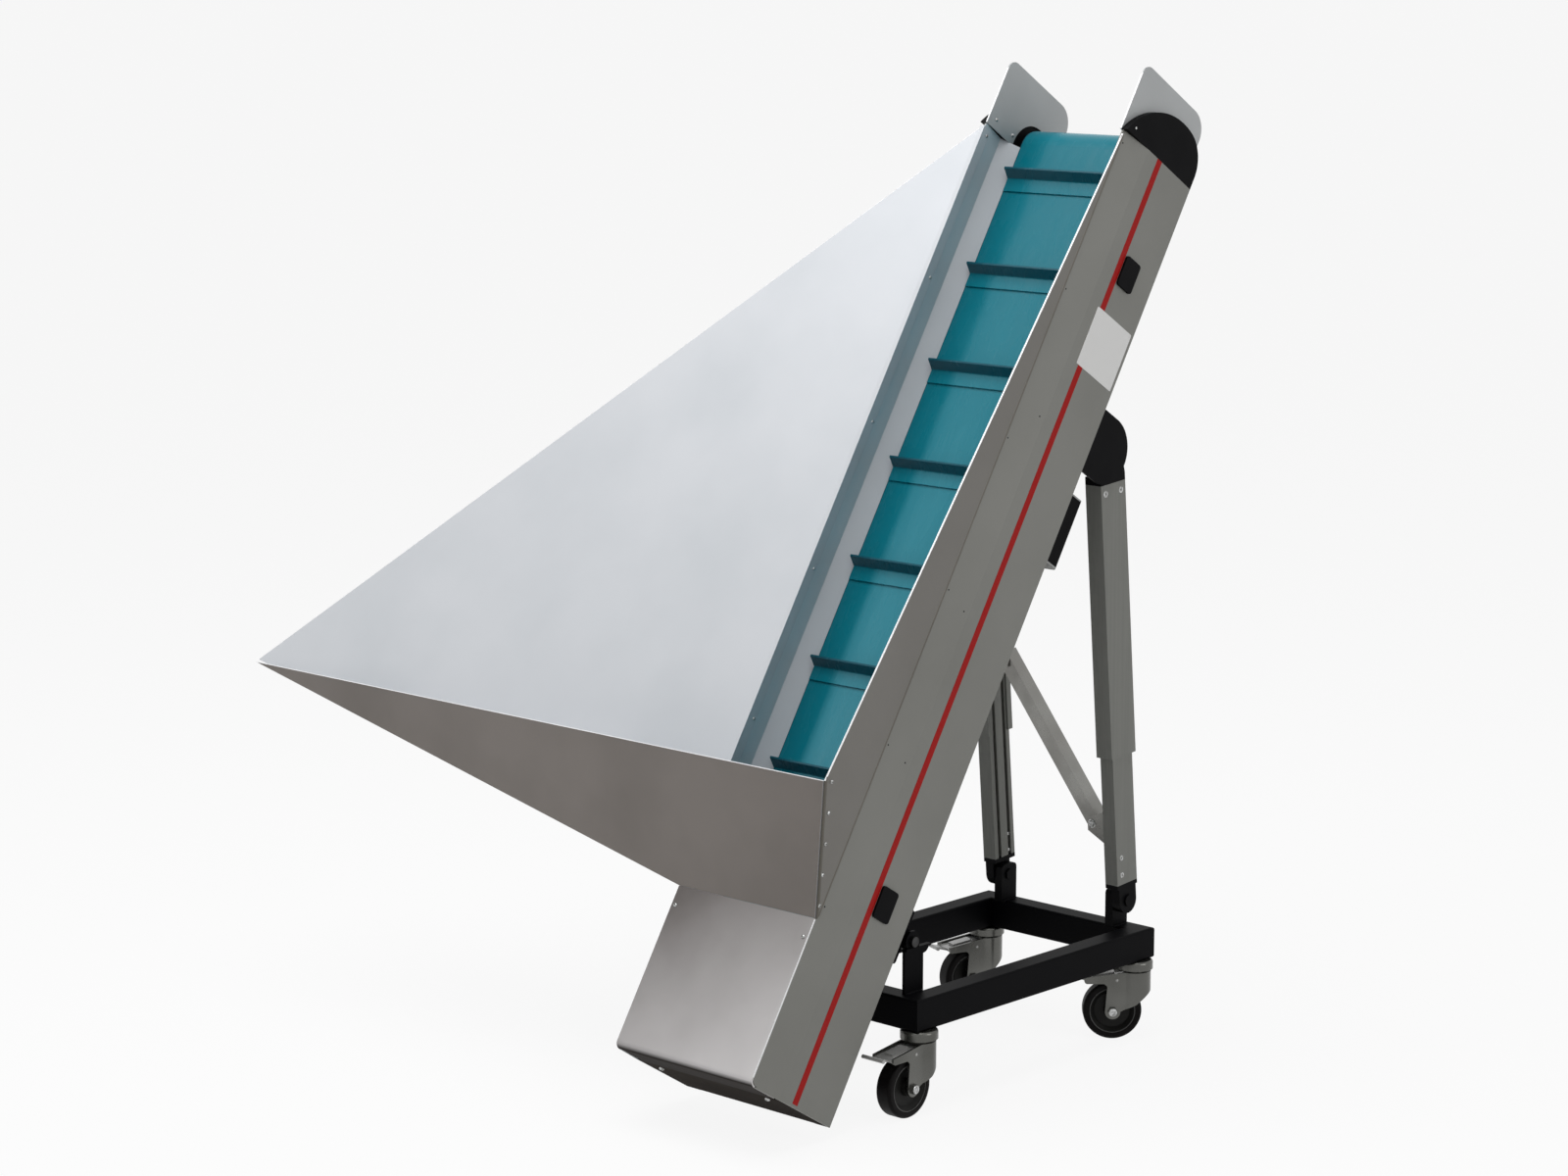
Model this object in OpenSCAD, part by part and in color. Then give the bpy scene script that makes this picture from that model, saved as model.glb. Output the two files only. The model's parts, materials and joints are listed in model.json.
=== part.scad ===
// Mobile steep belt conveyor with a side feed hopper, on a wheeled tube carriage.
// X runs across the belt, Y runs back under the discharge end, Z is up.
// The origin is on the floor under the centre of the carriage.

/* [Belt and drums] */
// Width of the belt
belt_w = 198; // [180:1:240]
// Thickness of the belt
belt_t = 2; // [1.5:0.5:3]
// Radius of both drums
drum_r = 30; // [28:1:34]
// Radius of the drum shafts
shaft_r = 7.5; // [6:0.5:9]
// Distance from the end of the side walls to the head drum
head_over = 6; // [4:1:10]
// Wanted spacing of the cleats
cleat_pitch = 138; // [120:1:160]
// Height of a cleat above the belt
cleat_h = 16; // [12:1:20]
// Thickness of a cleat's lip
cleat_t = 2.4; // [2:0.2:4]
// Length of a cleat's foot along the belt
cleat_foot = 20; // [14:1:24]
// Lean of the cleat's lip up the belt
cleat_lean = 8; // [4:1:10]
// Place of the first cleat below the head drum
cleat_start = 50; // [40:1:60]
// Gap between a cleat's end and the edge of the belt
cleat_inset = 2; // [1.5:0.5:4]
// Gap between the returning cleats and the rear pan
cleat_room = 3.5; // [2:0.5:8]
// Gap between the cleats on the lower drum and the foot plate
foot_room = 12; // [6:1:20]

/* [Conveyor] */
// Angle of the belt above the floor
incline = 58; // [56:0.5:60]
// Length of the side walls along the belt
conv_len = 1270; // [1200:10:1400]
// Room from the edge of the belt to the outer face of a side wall
edge_room = 20; // [18:0.5:24]
// Inward lean of a side wall from its bend to its front edge
front_lean = 7; // [5:0.5:10]
// Height of the bend in the side walls above the belt
bend_rise = 14; // [10:1:18]
// Depth of the leaning part of the side walls
front_depth = 52; // [46:1:60]
// Thickness of the side walls
wall_t = 2.5; // [2:0.5:3]
// Width of the inward flange on the rear face
rear_flange = 24; // [20:1:30]
// Thickness of the closing sheets
sheet_t = 2; // [1.5:0.5:2.5]
// Length of the plain cover over the foot of the belt
cover_len = 210; // [190:5:240]
// Radius of the bend at the foot of the cover
cover_r = 9; // [5:1:12]

/* [Discharge end] */
// Reach of the round end caps past the side walls
cap_reach = 63; // [60:1:68]
// Large radius of the end caps
cap_big_r = 107; // [100:1:115]
// Small radius of the end caps, towards the rear face
cap_small_r = 45; // [40:1:50]
// Reach of the guide plates past the side walls
guide_reach = 94; // [86:1:100]
// Thickness of the guide plates
guide_t = 2; // [1.5:0.5:3]
// Upper corner radius of the guide plates
guide_r = 14; // [8:1:20]
// Distance of the guide plates' lower edge from the rear face
guide_low = 6; // [3:1:12]
// Gap between the belt on its drum and the round cut in the guide plates
guide_gap = 6; // [4:1:8]

/* [Hopper] */
// Reach of the hopper's point from the middle of the belt
hopper_reach = 915; // [850:5:960]
// Distance of the hopper's rim up the belt
rim_up = 354; // [330:2:380]
// Height of the hopper's rim above the front edges of the side walls
rim_rise = 84; // [70:1:96]
// Outward lean of the right wall at its rim corner
rim_flare = 10; // [4:1:14]
// Gap from the hopper's upper tips to the end of the side walls
hopper_end_gap = 6; // [4:1:20]
// Depth of the flange that holds the long wall inside the left side wall
hopper_flange = 13; // [8:1:18]

/* [Carriage] */
// Reach of the carriage past the side walls on each side
frame_room = 21; // [16:1:30]
// Length of the carriage
frame_len = 466; // [440:2:500]
// Width of the carriage's tubes
tube_w = 30; // [28:1:34]
// Height of the carriage's tubes
tube_h = 40; // [36:1:44]
// Outer corner radius of the tubes
tube_r = 3; // [2.5:0.5:5]
// Wall of the tubes
tube_wall = 2; // [1.5:0.5:2.5]
// Height of the tubes above the floor
caster_h = 105; // [102:1:112]

/* [Pivot] */
// Distance of the pivot up the belt from its foot
pivot_up = 249.7; // [246:0.1:251]
// Distance of the pivot behind the rear face
pivot_back = 31.4; // [30:0.2:34]
// Distance of the pivot behind the front edge of the carriage
pivot_in = 26; // [24:0.5:28]
// Height of the pivot above the tubes
pivot_h = 64; // [62:1:70]
// Radius of the pivot bolt
pivot_r = 4; // [3:0.5:5]
// Width of a post along the carriage
post_w = 34; // [30:1:36]
// Distance of a post's front edge before the pivot
post_front = 15; // [14:0.5:18]
// Thickness of a post's plate
post_t = 4; // [3:0.5:5]
// Radius of the round eye on top of a post
post_eye_r = 13; // [12:0.5:14]
// Reach of a post's upper corner past its rear edge
post_ear = 11; // [8:1:14]
// Radius of the round lugs about the pivot
lug_r = 12.5; // [11:0.5:14]
// Thickness of a lug
lug_t = 6; // [5:0.5:8]
// Gap between a lug and its post
lug_gap = 2; // [1:0.5:3]
// Length of a lug's base along the belt
lug_base = 70; // [60:1:80]
// Depth of a lug's base behind the rear face
lug_base_d = 22; // [16:1:26]

/* [Box and latches] */
// Place of the control box up the belt
box_up = 753; // [730:1:780]
// Length of the control box
box_len = 90; // [70:1:100]
// Width of the control box
box_w = 60; // [40:1:70]
// Depth of the control box
box_d = 38; // [30:1:44]
// Corner radius of the control box
box_r = 8; // [4:1:12]
// Distance of the control box inside the right wall's outer face
box_in = 11; // [8:1:20]
// Length of the control box's brackets on the rear face
box_tab = 15; // [12:1:20]
// Thickness of the control box's brackets
box_tab_t = 2; // [1.5:0.5:3]
// Place of the lower latch covers up the belt
latch_low = 247; // [235:1:260]
// Distance of the upper latch covers from the top of the side walls
latch_down = 171; // [160:1:200]
// Height of the latch covers above the rear face
latch_n = 38; // [30:1:44]
// Length of a latch cover
latch_len = 40; // [34:1:46]
// Width of a latch cover
latch_w = 31; // [26:1:34]
// Thickness of a latch cover
latch_t = 3; // [2:0.5:4]
// Corner radius of a latch cover
latch_r = 4; // [2:0.5:6]

/* [Legs] */
// Distance of each leg's middle inside the side wall's outer face
leg_in = 16.5; // [15:0.5:18]
// Height of the lower leg pins above the tubes
leg_pin_h = 35; // [34:0.5:38]
// Distance of the lower leg pins before the rear edge of the carriage
leg_pin_in = 21; // [18:0.5:24]
// Distance of the upper leg pins from the top of the side walls
top_pin_down = 355; // [340:1:370]
// Distance of the upper leg pins behind the rear face
top_pin_back = 50; // [48:1:54]
// Radius of the leg pins
leg_pin_r = 5; // [4:0.5:6]
// Radius of the lower knuckles
knuckle_r = 17; // [16.5:0.5:18]
// Width of the carriage's ears along the carriage
ear_w = 30; // [26:1:32]
// Thickness of the carriage's ears
ear_t = 12.5; // [10:0.5:13]
// Height of an ear above the lower pin
ear_up = 14; // [12:0.5:14.5]
// Corner radius of an ear
ear_r = 6; // [5:0.5:8]
// Inner profile across the conveyor
inner_x = 20; // [18:1:21]
// Inner profile along the carriage
inner_y = 40; // [38:1:42]
// Distance from the upper pin to the top of the inner profile
inner_end_gap = 181.5; // [178:0.5:200]
// Distance from the lower pin to the inner profile
inner_gap = 24; // [23:1:28]
// Depth of the block that carries the inner profile
foot_block = 5.5; // [3:0.5:6]
// Distance from the lower pin to the outer channel
outer_start = 195; // [180:1:205]
// Distance from the upper pin to the outer channel
outer_gap = 33; // [31:1:36]
// Wall of the outer channel
outer_wall = 2; // [1.5:0.5:2.5]
// Lip on each side of the outer channel's open face
outer_lip = 7; // [5:1:8]
// Gap around the inner profile inside the channel
slide_gap = 0.5; // [0.4:0.1:1]
// Extra room in the channel along the carriage
slide_room = 2.5; // [1:0.5:3]
// Width of a slot's mouth in the inner profile
slot_w = 6; // [5:0.5:8]
// Width of a slot behind its mouth
slot_in_w = 11; // [9:0.5:13]
// Depth of a slot
slot_d = 6; // [5:0.5:7]
// Depth of a slot's mouth
slot_mouth = 2; // [1.5:0.5:3]
// Radius of the upper knuckle's round plates
disc_r = 43; // [38:1:46]
// Distance of those plates' centre behind the rear face
disc_back = 30; // [26:1:34]
// Thickness of the upper knuckle's round plates
disc_t = 3; // [2:0.5:3]
// Radius of the leg's eye at the upper pin
eye_r = 20; // [18:0.5:21]
// Thickness of the upper knuckle's inner ear
upper_ear_t = 9; // [6:0.5:10]
// Radius of the upper knuckle's inner ear
upper_ear_r = 14; // [12:0.5:15]
// Gap on each side of the leg's eye in the upper knuckle
eye_gap = 1; // [0.6:0.1:1.5]
// Height of the block on top of the outer channel
head_block = 10; // [6:1:12]
// Length of the plug inside the top of the outer channel
head_plug = 25; // [15:1:26]

/* [Brace] */
// Width of each side of the angle bar between the legs
brace_w = 20; // [16:1:22]
// Thickness of the angle bar
brace_t = 2; // [1.5:0.5:3]
// Distance of the brace's bolts from the inner profiles
brace_in = 24; // [20:1:28]
// Height of the brace's right bolt above the lower pins
brace_low = 100; // [90:1:110]
// Distance of the brace's left bolt below the upper pins
brace_down = 287.5; // [270:0.5:300]
// Thickness of the gusset plates at the brace's ends
gusset_t = 3; // [2:0.5:4]
// Width of the pads on the inner profiles
pad_w = 26; // [20:1:27]
// Thickness of the pads on the inner profiles
pad_t = 3; // [2:0.5:4]

/* [Casters] */
// Radius of the caster wheels
wheel_r = 38; // [36:0.5:39]
// Width of the tyres
wheel_w = 23; // [20:1:26]
// Radius of the tyre's rounded shoulders
shoulder_r = 4; // [2:0.5:6]
// Radius of the wheel's disc
hub_r = 30; // [28:0.5:31]
// Thickness of the rim of the wheel's disc
rim_t = 2; // [1.5:0.5:3]
// Depth of the dish in the wheel's disc
hub_dish = 5; // [3:0.5:7]
// Distance from the swivel to the wheel's axle
caster_trail = 29; // [26:1:32]
// Distance of the swivels inside the front and rear edges of the carriage
caster_in = 21; // [18:0.5:25]
// Radius of the swivel's round head
head_r = 23.5; // [22:0.5:25]
// Height of the swivel's round head
head_h = 12; // [10:0.5:13]
// Thickness of the fork's sheet
fork_t = 2.5; // [2:0.5:3]
// Gap between the tyre and the fork
fork_gap = 3; // [2:0.5:5]
// Reach of the fork's leg before the axle
fork_leg = 7; // [6:0.5:9]
// Radius of the fork's round end at the axle
fork_end_r = 10; // [9:0.5:11]
// Radius of the fork's round back
fork_back_r = 21; // [20:0.5:22.5]
// Reach of the fork's arms before the swivel
fork_arm = 66; // [60:1:70]
// Depth of the fork's arms
fork_arm_d = 8; // [6:0.5:10]
// Drop of the fork's arms towards their tips
fork_drop = 7; // [4:0.5:8]
// Reach of the brake pedal before the swivel
pedal_reach = 86; // [80:1:90]
// Width of the pedal's cross bar
pedal_bar = 34; // [28:1:38]

/* [Hidden] */
$fn = 48;
steel_black = [0.06, 0.06, 0.065];
steel_grey = [0.50, 0.50, 0.48];
hopper_grey = [0.80, 0.82, 0.84];
cover_grey = [0.74, 0.73, 0.72];
belt_teal = [0.05, 0.45, 0.50];
zinc = [0.68, 0.69, 0.70];
plastic_black = [0.09, 0.09, 0.10];
plastic_grey = [0.25, 0.25, 0.26];
aluminium = [0.72, 0.73, 0.75];
// Clearance between faces that touch on separate pieces
seat = 0.1;
// Running clearance at pins
pin_gap = 0.15;
// Overhang of a cutting shape past the face that it cuts
cut = 1;
// Bolt heads: radius as a share of the bolt's own radius, and thickness
bolt_head = 1.6;
bolt_head_t = 4;

// Sizes across the machine
half_w = belt_w / 2 + edge_room;
half_front = half_w - front_lean;
frame_half = half_w + frame_room;
leg_x = half_w - leg_in;
// Heights above the rear face, from the pan up to the carrying run
pan_top = wall_t + sheet_t;
belt_h = pan_top + cleat_room + cleat_h + 2 * belt_t + 2 * drum_r;
bend_h = belt_h + bend_rise;
conv_depth = bend_h + front_depth;
wall_top = conv_depth - sheet_t;
rim_h = conv_depth + rim_rise;
// Drum axes and the belt's loop
loop_r = drum_r + belt_t / 2;
drum_n = belt_h - belt_t - drum_r;
head_s = conv_len + head_over;
tail_s = sheet_t + foot_room + cleat_h + belt_t + drum_r;
run_len = head_s - tail_s;
loop_len = 2 * run_len + 2 * PI * loop_r;
cleat_count = round(loop_len / cleat_pitch);
cleat_step = loop_len / cleat_count;
guide_x = half_front - wall_t - guide_t;
// Carriage, and the conveyor's place on its pivot
frame_top = caster_h + tube_h;
tube_x = frame_half - tube_w / 2;
pivot_y = pivot_in - frame_len / 2;
pivot_z = frame_top + pivot_h;
foot_y = pivot_y - pivot_up * cos(incline) - pivot_back * sin(incline);
foot_z = pivot_z - pivot_up * sin(incline) + pivot_back * cos(incline);
post_x = frame_half - tube_w;
lug_x = post_x - post_t - lug_gap - lug_t;
// Leg pins in the carriage's frame, and the line between them
low_pin_y = frame_len / 2 - leg_pin_in;
low_pin_z = frame_top + leg_pin_h;
top_pin_up = conv_len - top_pin_down;
top_pin_y = foot_y + top_pin_up * cos(incline) + top_pin_back * sin(incline);
top_pin_z = foot_z + top_pin_up * sin(incline) - top_pin_back * cos(incline);
leg_dy = top_pin_y - low_pin_y;
leg_dz = top_pin_z - low_pin_z;
leg_len = sqrt(leg_dy * leg_dy + leg_dz * leg_dz);
leg_lean = atan2(-leg_dy, leg_dz);
outer_x = inner_x + 2 * slide_gap + 2 * outer_wall;
outer_y = inner_y + 2 * slide_room + 2 * outer_wall;
outer_end = leg_len - outer_gap;
inner_len = leg_len - inner_gap - inner_end_gap;
brace_high = leg_len - brace_down;

// Places a child given in belt coordinates: X across, Y up the belt, Z off the rear face
module on_belt() {
    translate([0, foot_y, foot_z]) rotate([incline, 0, 0]) children();
}
// Draws a flat outline (up the belt, off the rear face) across the width from x0 to x1
module across(x0, x1) {
    translate([x0, 0, 0]) rotate([90, 0, 90]) linear_extrude(x1 - x0) children();
}
// Draws a flat outline (across, off the rear face) along the belt
module along(start, len) {
    translate([0, start + len, 0]) rotate([90, 0, 0]) linear_extrude(len) children();
}
// Both sides of the machine
module both_sides() {
    children();
    mirror([1, 0, 0]) children();
}
// Places a child on a leg: the lower pin is the origin and Z runs up the leg
module on_leg() {
    translate([leg_x, low_pin_y, low_pin_z]) rotate([leg_lean, 0, 0]) children();
}
// A rectangle with round corners, about its centre
module round_rect(w, h, r) {
    square([w - 2 * r, h], center = true);
    square([w, h - 2 * r], center = true);
    for (x = [r - w / 2, w / 2 - r], y = [r - h / 2, h / 2 - r]) translate([x, y]) circle(r);
}
// Fills the inner corner between two edges that run along +X and +Y from the origin
module fillet(r) {
    difference() {
        square(r);
        translate([r, r]) circle(r);
    }
}
// Everything outside a round corner at the origin, for an edge that runs along +X and -Y
module round_off(r) {
    difference() {
        translate([-cut, -r]) square([r + cut, r + cut]);
        translate([r, -r]) circle(r);
    }
}
// A flat sheet with the given corners, thick on the side that the corners turn towards
module sheet(corners, t) {
    turn = cross(corners[1] - corners[0], corners[2] - corners[0]);
    shift = turn / norm(turn) * t;
    count = len(corners);
    points = concat(corners, [for (p = corners) p + shift]);
    low = [for (i = [0 : count - 1]) i];
    high = [for (i = [0 : count - 1]) 2 * count - 1 - i];
    rim = [for (i = [0 : count - 1]) [i, i + count, (i + 1) % count + count, (i + 1) % count]];
    polyhedron(points, concat([low], [high], rim));
}

// Carriage: four tubes with mitred corners
module tube_section() {
    difference() {
        round_rect(tube_w, tube_h, tube_r);
        round_rect(tube_w - 2 * tube_wall, tube_h - 2 * tube_wall, tube_r - tube_wall);
    }
}
module side_tubes() {
    y_out = frame_len / 2;
    y_in = y_out - tube_w;
    color(steel_black) both_sides() intersection() {
        translate([tube_x, y_out, caster_h + tube_h / 2]) rotate([90, 0, 0])
            linear_extrude(frame_len) tube_section();
        linear_extrude(frame_top + cut)
            polygon([[frame_half, -y_out], [frame_half, y_out], [post_x, y_in], [post_x, -y_in]]);
    }
}
module cross_tubes() {
    y_out = frame_len / 2;
    y_in = y_out - tube_w;
    color(steel_black) for (side = [-1, 1]) intersection() {
        translate([-frame_half, side * (y_out - tube_w / 2), caster_h + tube_h / 2]) rotate([90, 0, 90])
            linear_extrude(2 * frame_half) tube_section();
        linear_extrude(frame_top + cut) polygon([[-frame_half, side * y_out], [frame_half, side * y_out],
            [post_x, side * y_in], [-post_x, side * y_in]]);
    }
}
post_rear = pivot_y - post_front + post_w;
ledge_drop = 7;
ledge_t = 3;
module post_outline() {
    ledge_z = pivot_z - ledge_drop;
    tube_edge = tube_w - frame_len / 2;
    difference() {
        union() {
            translate([pivot_y - post_front, frame_top]) square([post_w, pivot_h - ledge_drop]);
            translate([tube_edge, frame_top - tube_h / 2]) square([post_rear - tube_edge, tube_h / 2]);
            translate([pivot_y, pivot_z]) circle(post_eye_r);
            intersection() {
                translate([post_rear, ledge_z]) circle(post_ear);
                translate([post_rear - cut, ledge_z - post_ear]) square([post_ear + cut, post_ear]);
            }
        }
        translate([pivot_y, pivot_z]) circle(pivot_r + pin_gap);
    }
}
module front_posts() {
    color(steel_black) both_sides() {
        across(post_x - post_t, post_x) post_outline();
        translate([post_x, pivot_y - post_front, pivot_z - ledge_drop - ledge_t])
            cube([ledge_t, post_w + post_ear, ledge_t]);
    }
}
module pivot_bolts() {
    washer_t = lug_gap - 2 * seat;
    color(zinc) both_sides() translate([0, pivot_y, pivot_z]) rotate([0, 90, 0]) {
        translate([0, 0, lug_x - seat - bolt_head_t])
            cylinder(r = pivot_r, h = post_x + seat - lug_x + 2 * bolt_head_t);
        translate([0, 0, lug_x - seat - bolt_head_t]) cylinder(r = 2 * pivot_r, h = bolt_head_t, $fn = 6);
        translate([0, 0, lug_x + lug_t + seat]) cylinder(r = 2 * pivot_r, h = washer_t);
        translate([0, 0, post_x + seat]) cylinder(r = bolt_head * pivot_r, h = bolt_head_t);
    }
}
module leg_brackets() {
    ear_h = leg_pin_h + ear_up;
    color(plastic_black) both_sides() across(leg_x - seat - lug_side - ear_t, leg_x - seat - lug_side)
        difference() {
            union() {
                translate([low_pin_y, low_pin_z + ear_up - ear_h / 2]) round_rect(ear_w, ear_h, ear_r);
                translate([low_pin_y - ear_w / 2, frame_top]) square([ear_w, ear_h / 2]);
            }
            translate([low_pin_y, low_pin_z]) circle(leg_pin_r + pin_gap);
        }
}

// Conveyor body
module wall_section() {
    polygon([[half_w, 0], [half_w, bend_h], [half_front, wall_top], [half_front - wall_t, wall_top],
        [half_w - wall_t, bend_h], [half_w - wall_t, wall_t], [half_w - rear_flange, wall_t],
        [half_w - rear_flange, 0]]);
}
module side_wall() {
    difference() {
        along(0, conv_len) wall_section();
        across(half_front - 2 * wall_t, half_w + cut) {
            translate([sheet_t, wall_top]) round_off(cover_r);
            translate([-cut, conv_depth - cover_r]) square([sheet_t + cut, cover_r]);
        }
    }
}
module side_wall_right() {
    color(steel_grey) on_belt() side_wall();
}
module side_wall_left() {
    color(steel_grey) on_belt() mirror([1, 0, 0]) side_wall();
}
module rear_pan() {
    color(steel_grey) on_belt() translate([-half_w + wall_t, sheet_t, wall_t])
        cube([2 * (half_w - wall_t), conv_len - sheet_t, sheet_t]);
}
module foot_plate() {
    color(steel_grey) on_belt() translate([-half_w + wall_t, 0, wall_t])
        cube([2 * (half_w - wall_t), sheet_t, bend_h - wall_t]);
}
// Cover sheet, bent down over the foot and tucked between the walls
module foot_cover() {
    lap_x = half_front - wall_t;
    bend_n = conv_depth - cover_r;
    color(cover_grey) on_belt() {
        across(-half_front, half_front) {
            translate([cover_r, wall_top]) square([cover_len - cover_r, sheet_t]);
            intersection() {
                difference() {
                    translate([cover_r, bend_n]) circle(cover_r);
                    translate([cover_r, bend_n]) circle(cover_r - sheet_t);
                }
                translate([0, bend_n]) square(cover_r);
            }
        }
        across(-lap_x, lap_x) translate([0, bend_h]) square([sheet_t, bend_n - bend_h]);
    }
}
lip_gap = 5;
module feed_baffle() {
    lip_h = belt_h + cleat_h + lip_gap;
    color(steel_grey) on_belt() translate([-half_front + wall_t, cover_len - sheet_t, lip_h])
        cube([2 * (half_front - wall_t), sheet_t, wall_top - lip_h]);
}
bed_gap = 0.3;
module slider_bed() {
    end_gap = drum_r + belt_t + guide_gap;
    bed_n = belt_h - belt_t - bed_gap - sheet_t;
    color(aluminium) on_belt() translate([-half_w + wall_t, tail_s + end_gap, bed_n])
        cube([2 * (half_w - wall_t), run_len - 2 * end_gap, sheet_t]);
}
skirt_lap = 1;
skirt_t = 1.5;
skirt_rise = 9;
module skirts() {
    low_n = belt_h + 2 * bed_gap;
    edge_x = belt_w / 2;
    top_n = bend_h + skirt_rise;
    top_x = half_w - wall_t - skirt_rise * front_lean / (wall_top - bend_h) - seat;
    color(hopper_grey) on_belt() both_sides() along(cover_len, conv_len - cover_len)
        polygon([[edge_x - skirt_lap, low_n], [edge_x - skirt_lap + skirt_t, low_n],
            [top_x, top_n - skirt_t], [top_x, top_n]]);
}
module drum(s, shaft_end) {
    translate([0, s, drum_n]) rotate([0, 90, 0]) {
        cylinder(r = drum_r, h = belt_w, center = true);
        cylinder(r = shaft_r, h = 2 * shaft_end, center = true);
    }
}
module head_drum() {
    color(zinc) on_belt() drum(head_s, guide_x + guide_t);
}
module tail_drum() {
    color(zinc) on_belt() drum(tail_s, half_w - wall_t);
}
// Belt loop: distance d along the loop starts at the head end of the carrying run and goes down it
function loop_angle(d) = let (arc = PI * loop_r, r = d - run_len, q = d - 2 * run_len - arc)
    d < run_len ? 0 : d < run_len + arc ? 180 * r / arc : d < 2 * run_len + arc ? 180 : 180 + 180 * q / arc;
function loop_spot(d) = let (arc = PI * loop_r, a = loop_angle(d), r = drum_r + belt_t)
    d < run_len ? [head_s - d, drum_n + r] :
    d < run_len + arc ? [tail_s - r * sin(a), drum_n + r * cos(a)] :
    d < 2 * run_len + arc ? [tail_s + d - run_len - arc, drum_n - r] :
    [head_s - r * sin(a), drum_n + r * cos(a)];
drum_fit = 0.05;
module loop_outline(r) {
    translate([tail_s, drum_n - r]) square([run_len, 2 * r]);
    for (s = [tail_s, head_s]) translate([s, drum_n]) circle(r, $fn = 64);
}
module cleat_outline() {
    root = belt_t / 5;
    polygon([[-cleat_foot, -root], [-cleat_foot, cleat_t], [-cleat_t, cleat_t],
        [cleat_lean - cleat_t, cleat_h], [cleat_lean, cleat_h], [cleat_t, cleat_t],
        [cleat_foot / 5, cleat_t], [cleat_foot / 5, -root]]);
}
module belt() {
    color(belt_teal) on_belt() {
        across(-belt_w / 2, belt_w / 2) difference() {
            loop_outline(drum_r + belt_t);
            loop_outline(drum_r + drum_fit);
        }
        across(-belt_w / 2 + cleat_inset, belt_w / 2 - cleat_inset)
            for (i = [0 : cleat_count - 1]) let (d = cleat_start + i * cleat_step)
                translate(loop_spot(d)) rotate(loop_angle(d)) cleat_outline();
    }
}
// Two arcs that meet smoothly: a large one from the front edge and a small one at the rear face
module cap_outline() {
    big_s = conv_len + cap_reach - cap_big_r;
    big_n = conv_depth - sqrt(pow(cap_big_r, 2) - pow(cap_big_r - cap_reach, 2));
    step = cap_big_r - cap_small_r;
    small_s = big_s + sqrt(pow(step, 2) - pow(big_n - cap_small_r, 2));
    reach = 2 * cap_big_r / step;
    far_s = big_s + reach * (small_s - big_s);
    far_n = big_n + reach * (cap_small_r - big_n);
    intersection() {
        union() {
            intersection() {
                translate([big_s, big_n]) circle(cap_big_r, $fn = 96);
                polygon([[big_s, big_n], [far_s, far_n], [far_s, conv_depth], [big_s, conv_depth]]);
            }
            translate([small_s, cap_small_r]) circle(cap_small_r, $fn = 64);
            translate([conv_len, 0]) square([small_s - conv_len, big_n]);
        }
        translate([conv_len + seat, 0]) square([cap_reach, conv_depth]);
    }
}
module end_caps() {
    color(plastic_black) on_belt() both_sides() across(guide_x + guide_t + seat, half_w) cap_outline();
}
module guide_outline() {
    low_r = 2 * guide_r;
    start = conv_len + seat;
    end = conv_len + guide_reach;
    difference() {
        translate([start, guide_low]) square([end - start, conv_depth - guide_low]);
        translate([end, conv_depth]) mirror([1, 0, 0]) round_off(guide_r);
        translate([end, guide_low]) rotate(180) round_off(low_r);
        translate([head_s, drum_n]) circle(drum_r + belt_t + guide_gap);
    }
}
module guide_plates() {
    color(hopper_grey) on_belt() both_sides() across(guide_x, guide_x + guide_t) guide_outline();
}

// Hopper corners in belt coordinates
rim_left = [-hopper_reach, rim_up, rim_h];
rim_right = [half_front + rim_flare, rim_up, rim_h];
low_up = cover_len + sheet_t - 8 * seat;
panel_n = wall_top + 4 * seat;
low_left = [-half_front, low_up, panel_n];
low_right = [half_front, low_up, panel_n];
tip_up = conv_len - hopper_end_gap;
tip_right = [half_front, tip_up, panel_n];
module hopper_front() {
    color(steel_grey) on_belt() sheet([rim_right, rim_left, low_left, low_right], sheet_t);
}
// The left sheet lies on the wall's front edge, just inside the front sheet, and its flange hooks over it
module hopper_left() {
    in_front = [0, 2 * sheet_t, 0];
    lay_n = panel_n + sheet_t;
    flange_up = low_up + 2 * in_front[1];
    lean = front_lean / (wall_top - bend_h);
    hook_x = half_front - wall_t - 2 * seat;
    top_x = hook_x - lean * (lay_n - wall_top);
    tip_x = hook_x + lean * hopper_flange;
    color(hopper_grey) on_belt() {
        sheet([rim_left + in_front, [-half_front, tip_up, lay_n], [-half_front, low_up, lay_n] + in_front],
            sheet_t);
        along(flange_up, tip_up - flange_up) mirror([1, 0, 0])
            polygon([[half_front + sheet_t, lay_n], [half_front + sheet_t, lay_n + sheet_t],
                [top_x - sheet_t, lay_n + sheet_t], [tip_x - sheet_t, wall_top - hopper_flange],
                [tip_x, wall_top - hopper_flange], [top_x, lay_n]]);
    }
}
module hopper_right() {
    color(hopper_grey) on_belt() sheet([rim_right, low_right, tip_right], sheet_t);
}
module pivot_lugs() {
    corner_r = lug_base_d / 5;
    color(steel_black) on_belt() both_sides() across(lug_x, lug_x + lug_t) difference() {
        union() {
            translate([pivot_up, -pivot_back]) circle(lug_r);
            translate([pivot_up - lug_r, -pivot_back]) square([2 * lug_r, pivot_back]);
            translate([pivot_up, -lug_base_d / 2]) round_rect(lug_base, lug_base_d, corner_r);
            translate([pivot_up - lug_base / 2, -lug_base_d / 2]) square([lug_base, lug_base_d / 2]);
        }
        translate([pivot_up, -pivot_back]) circle(pivot_r + pin_gap);
    }
}
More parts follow.
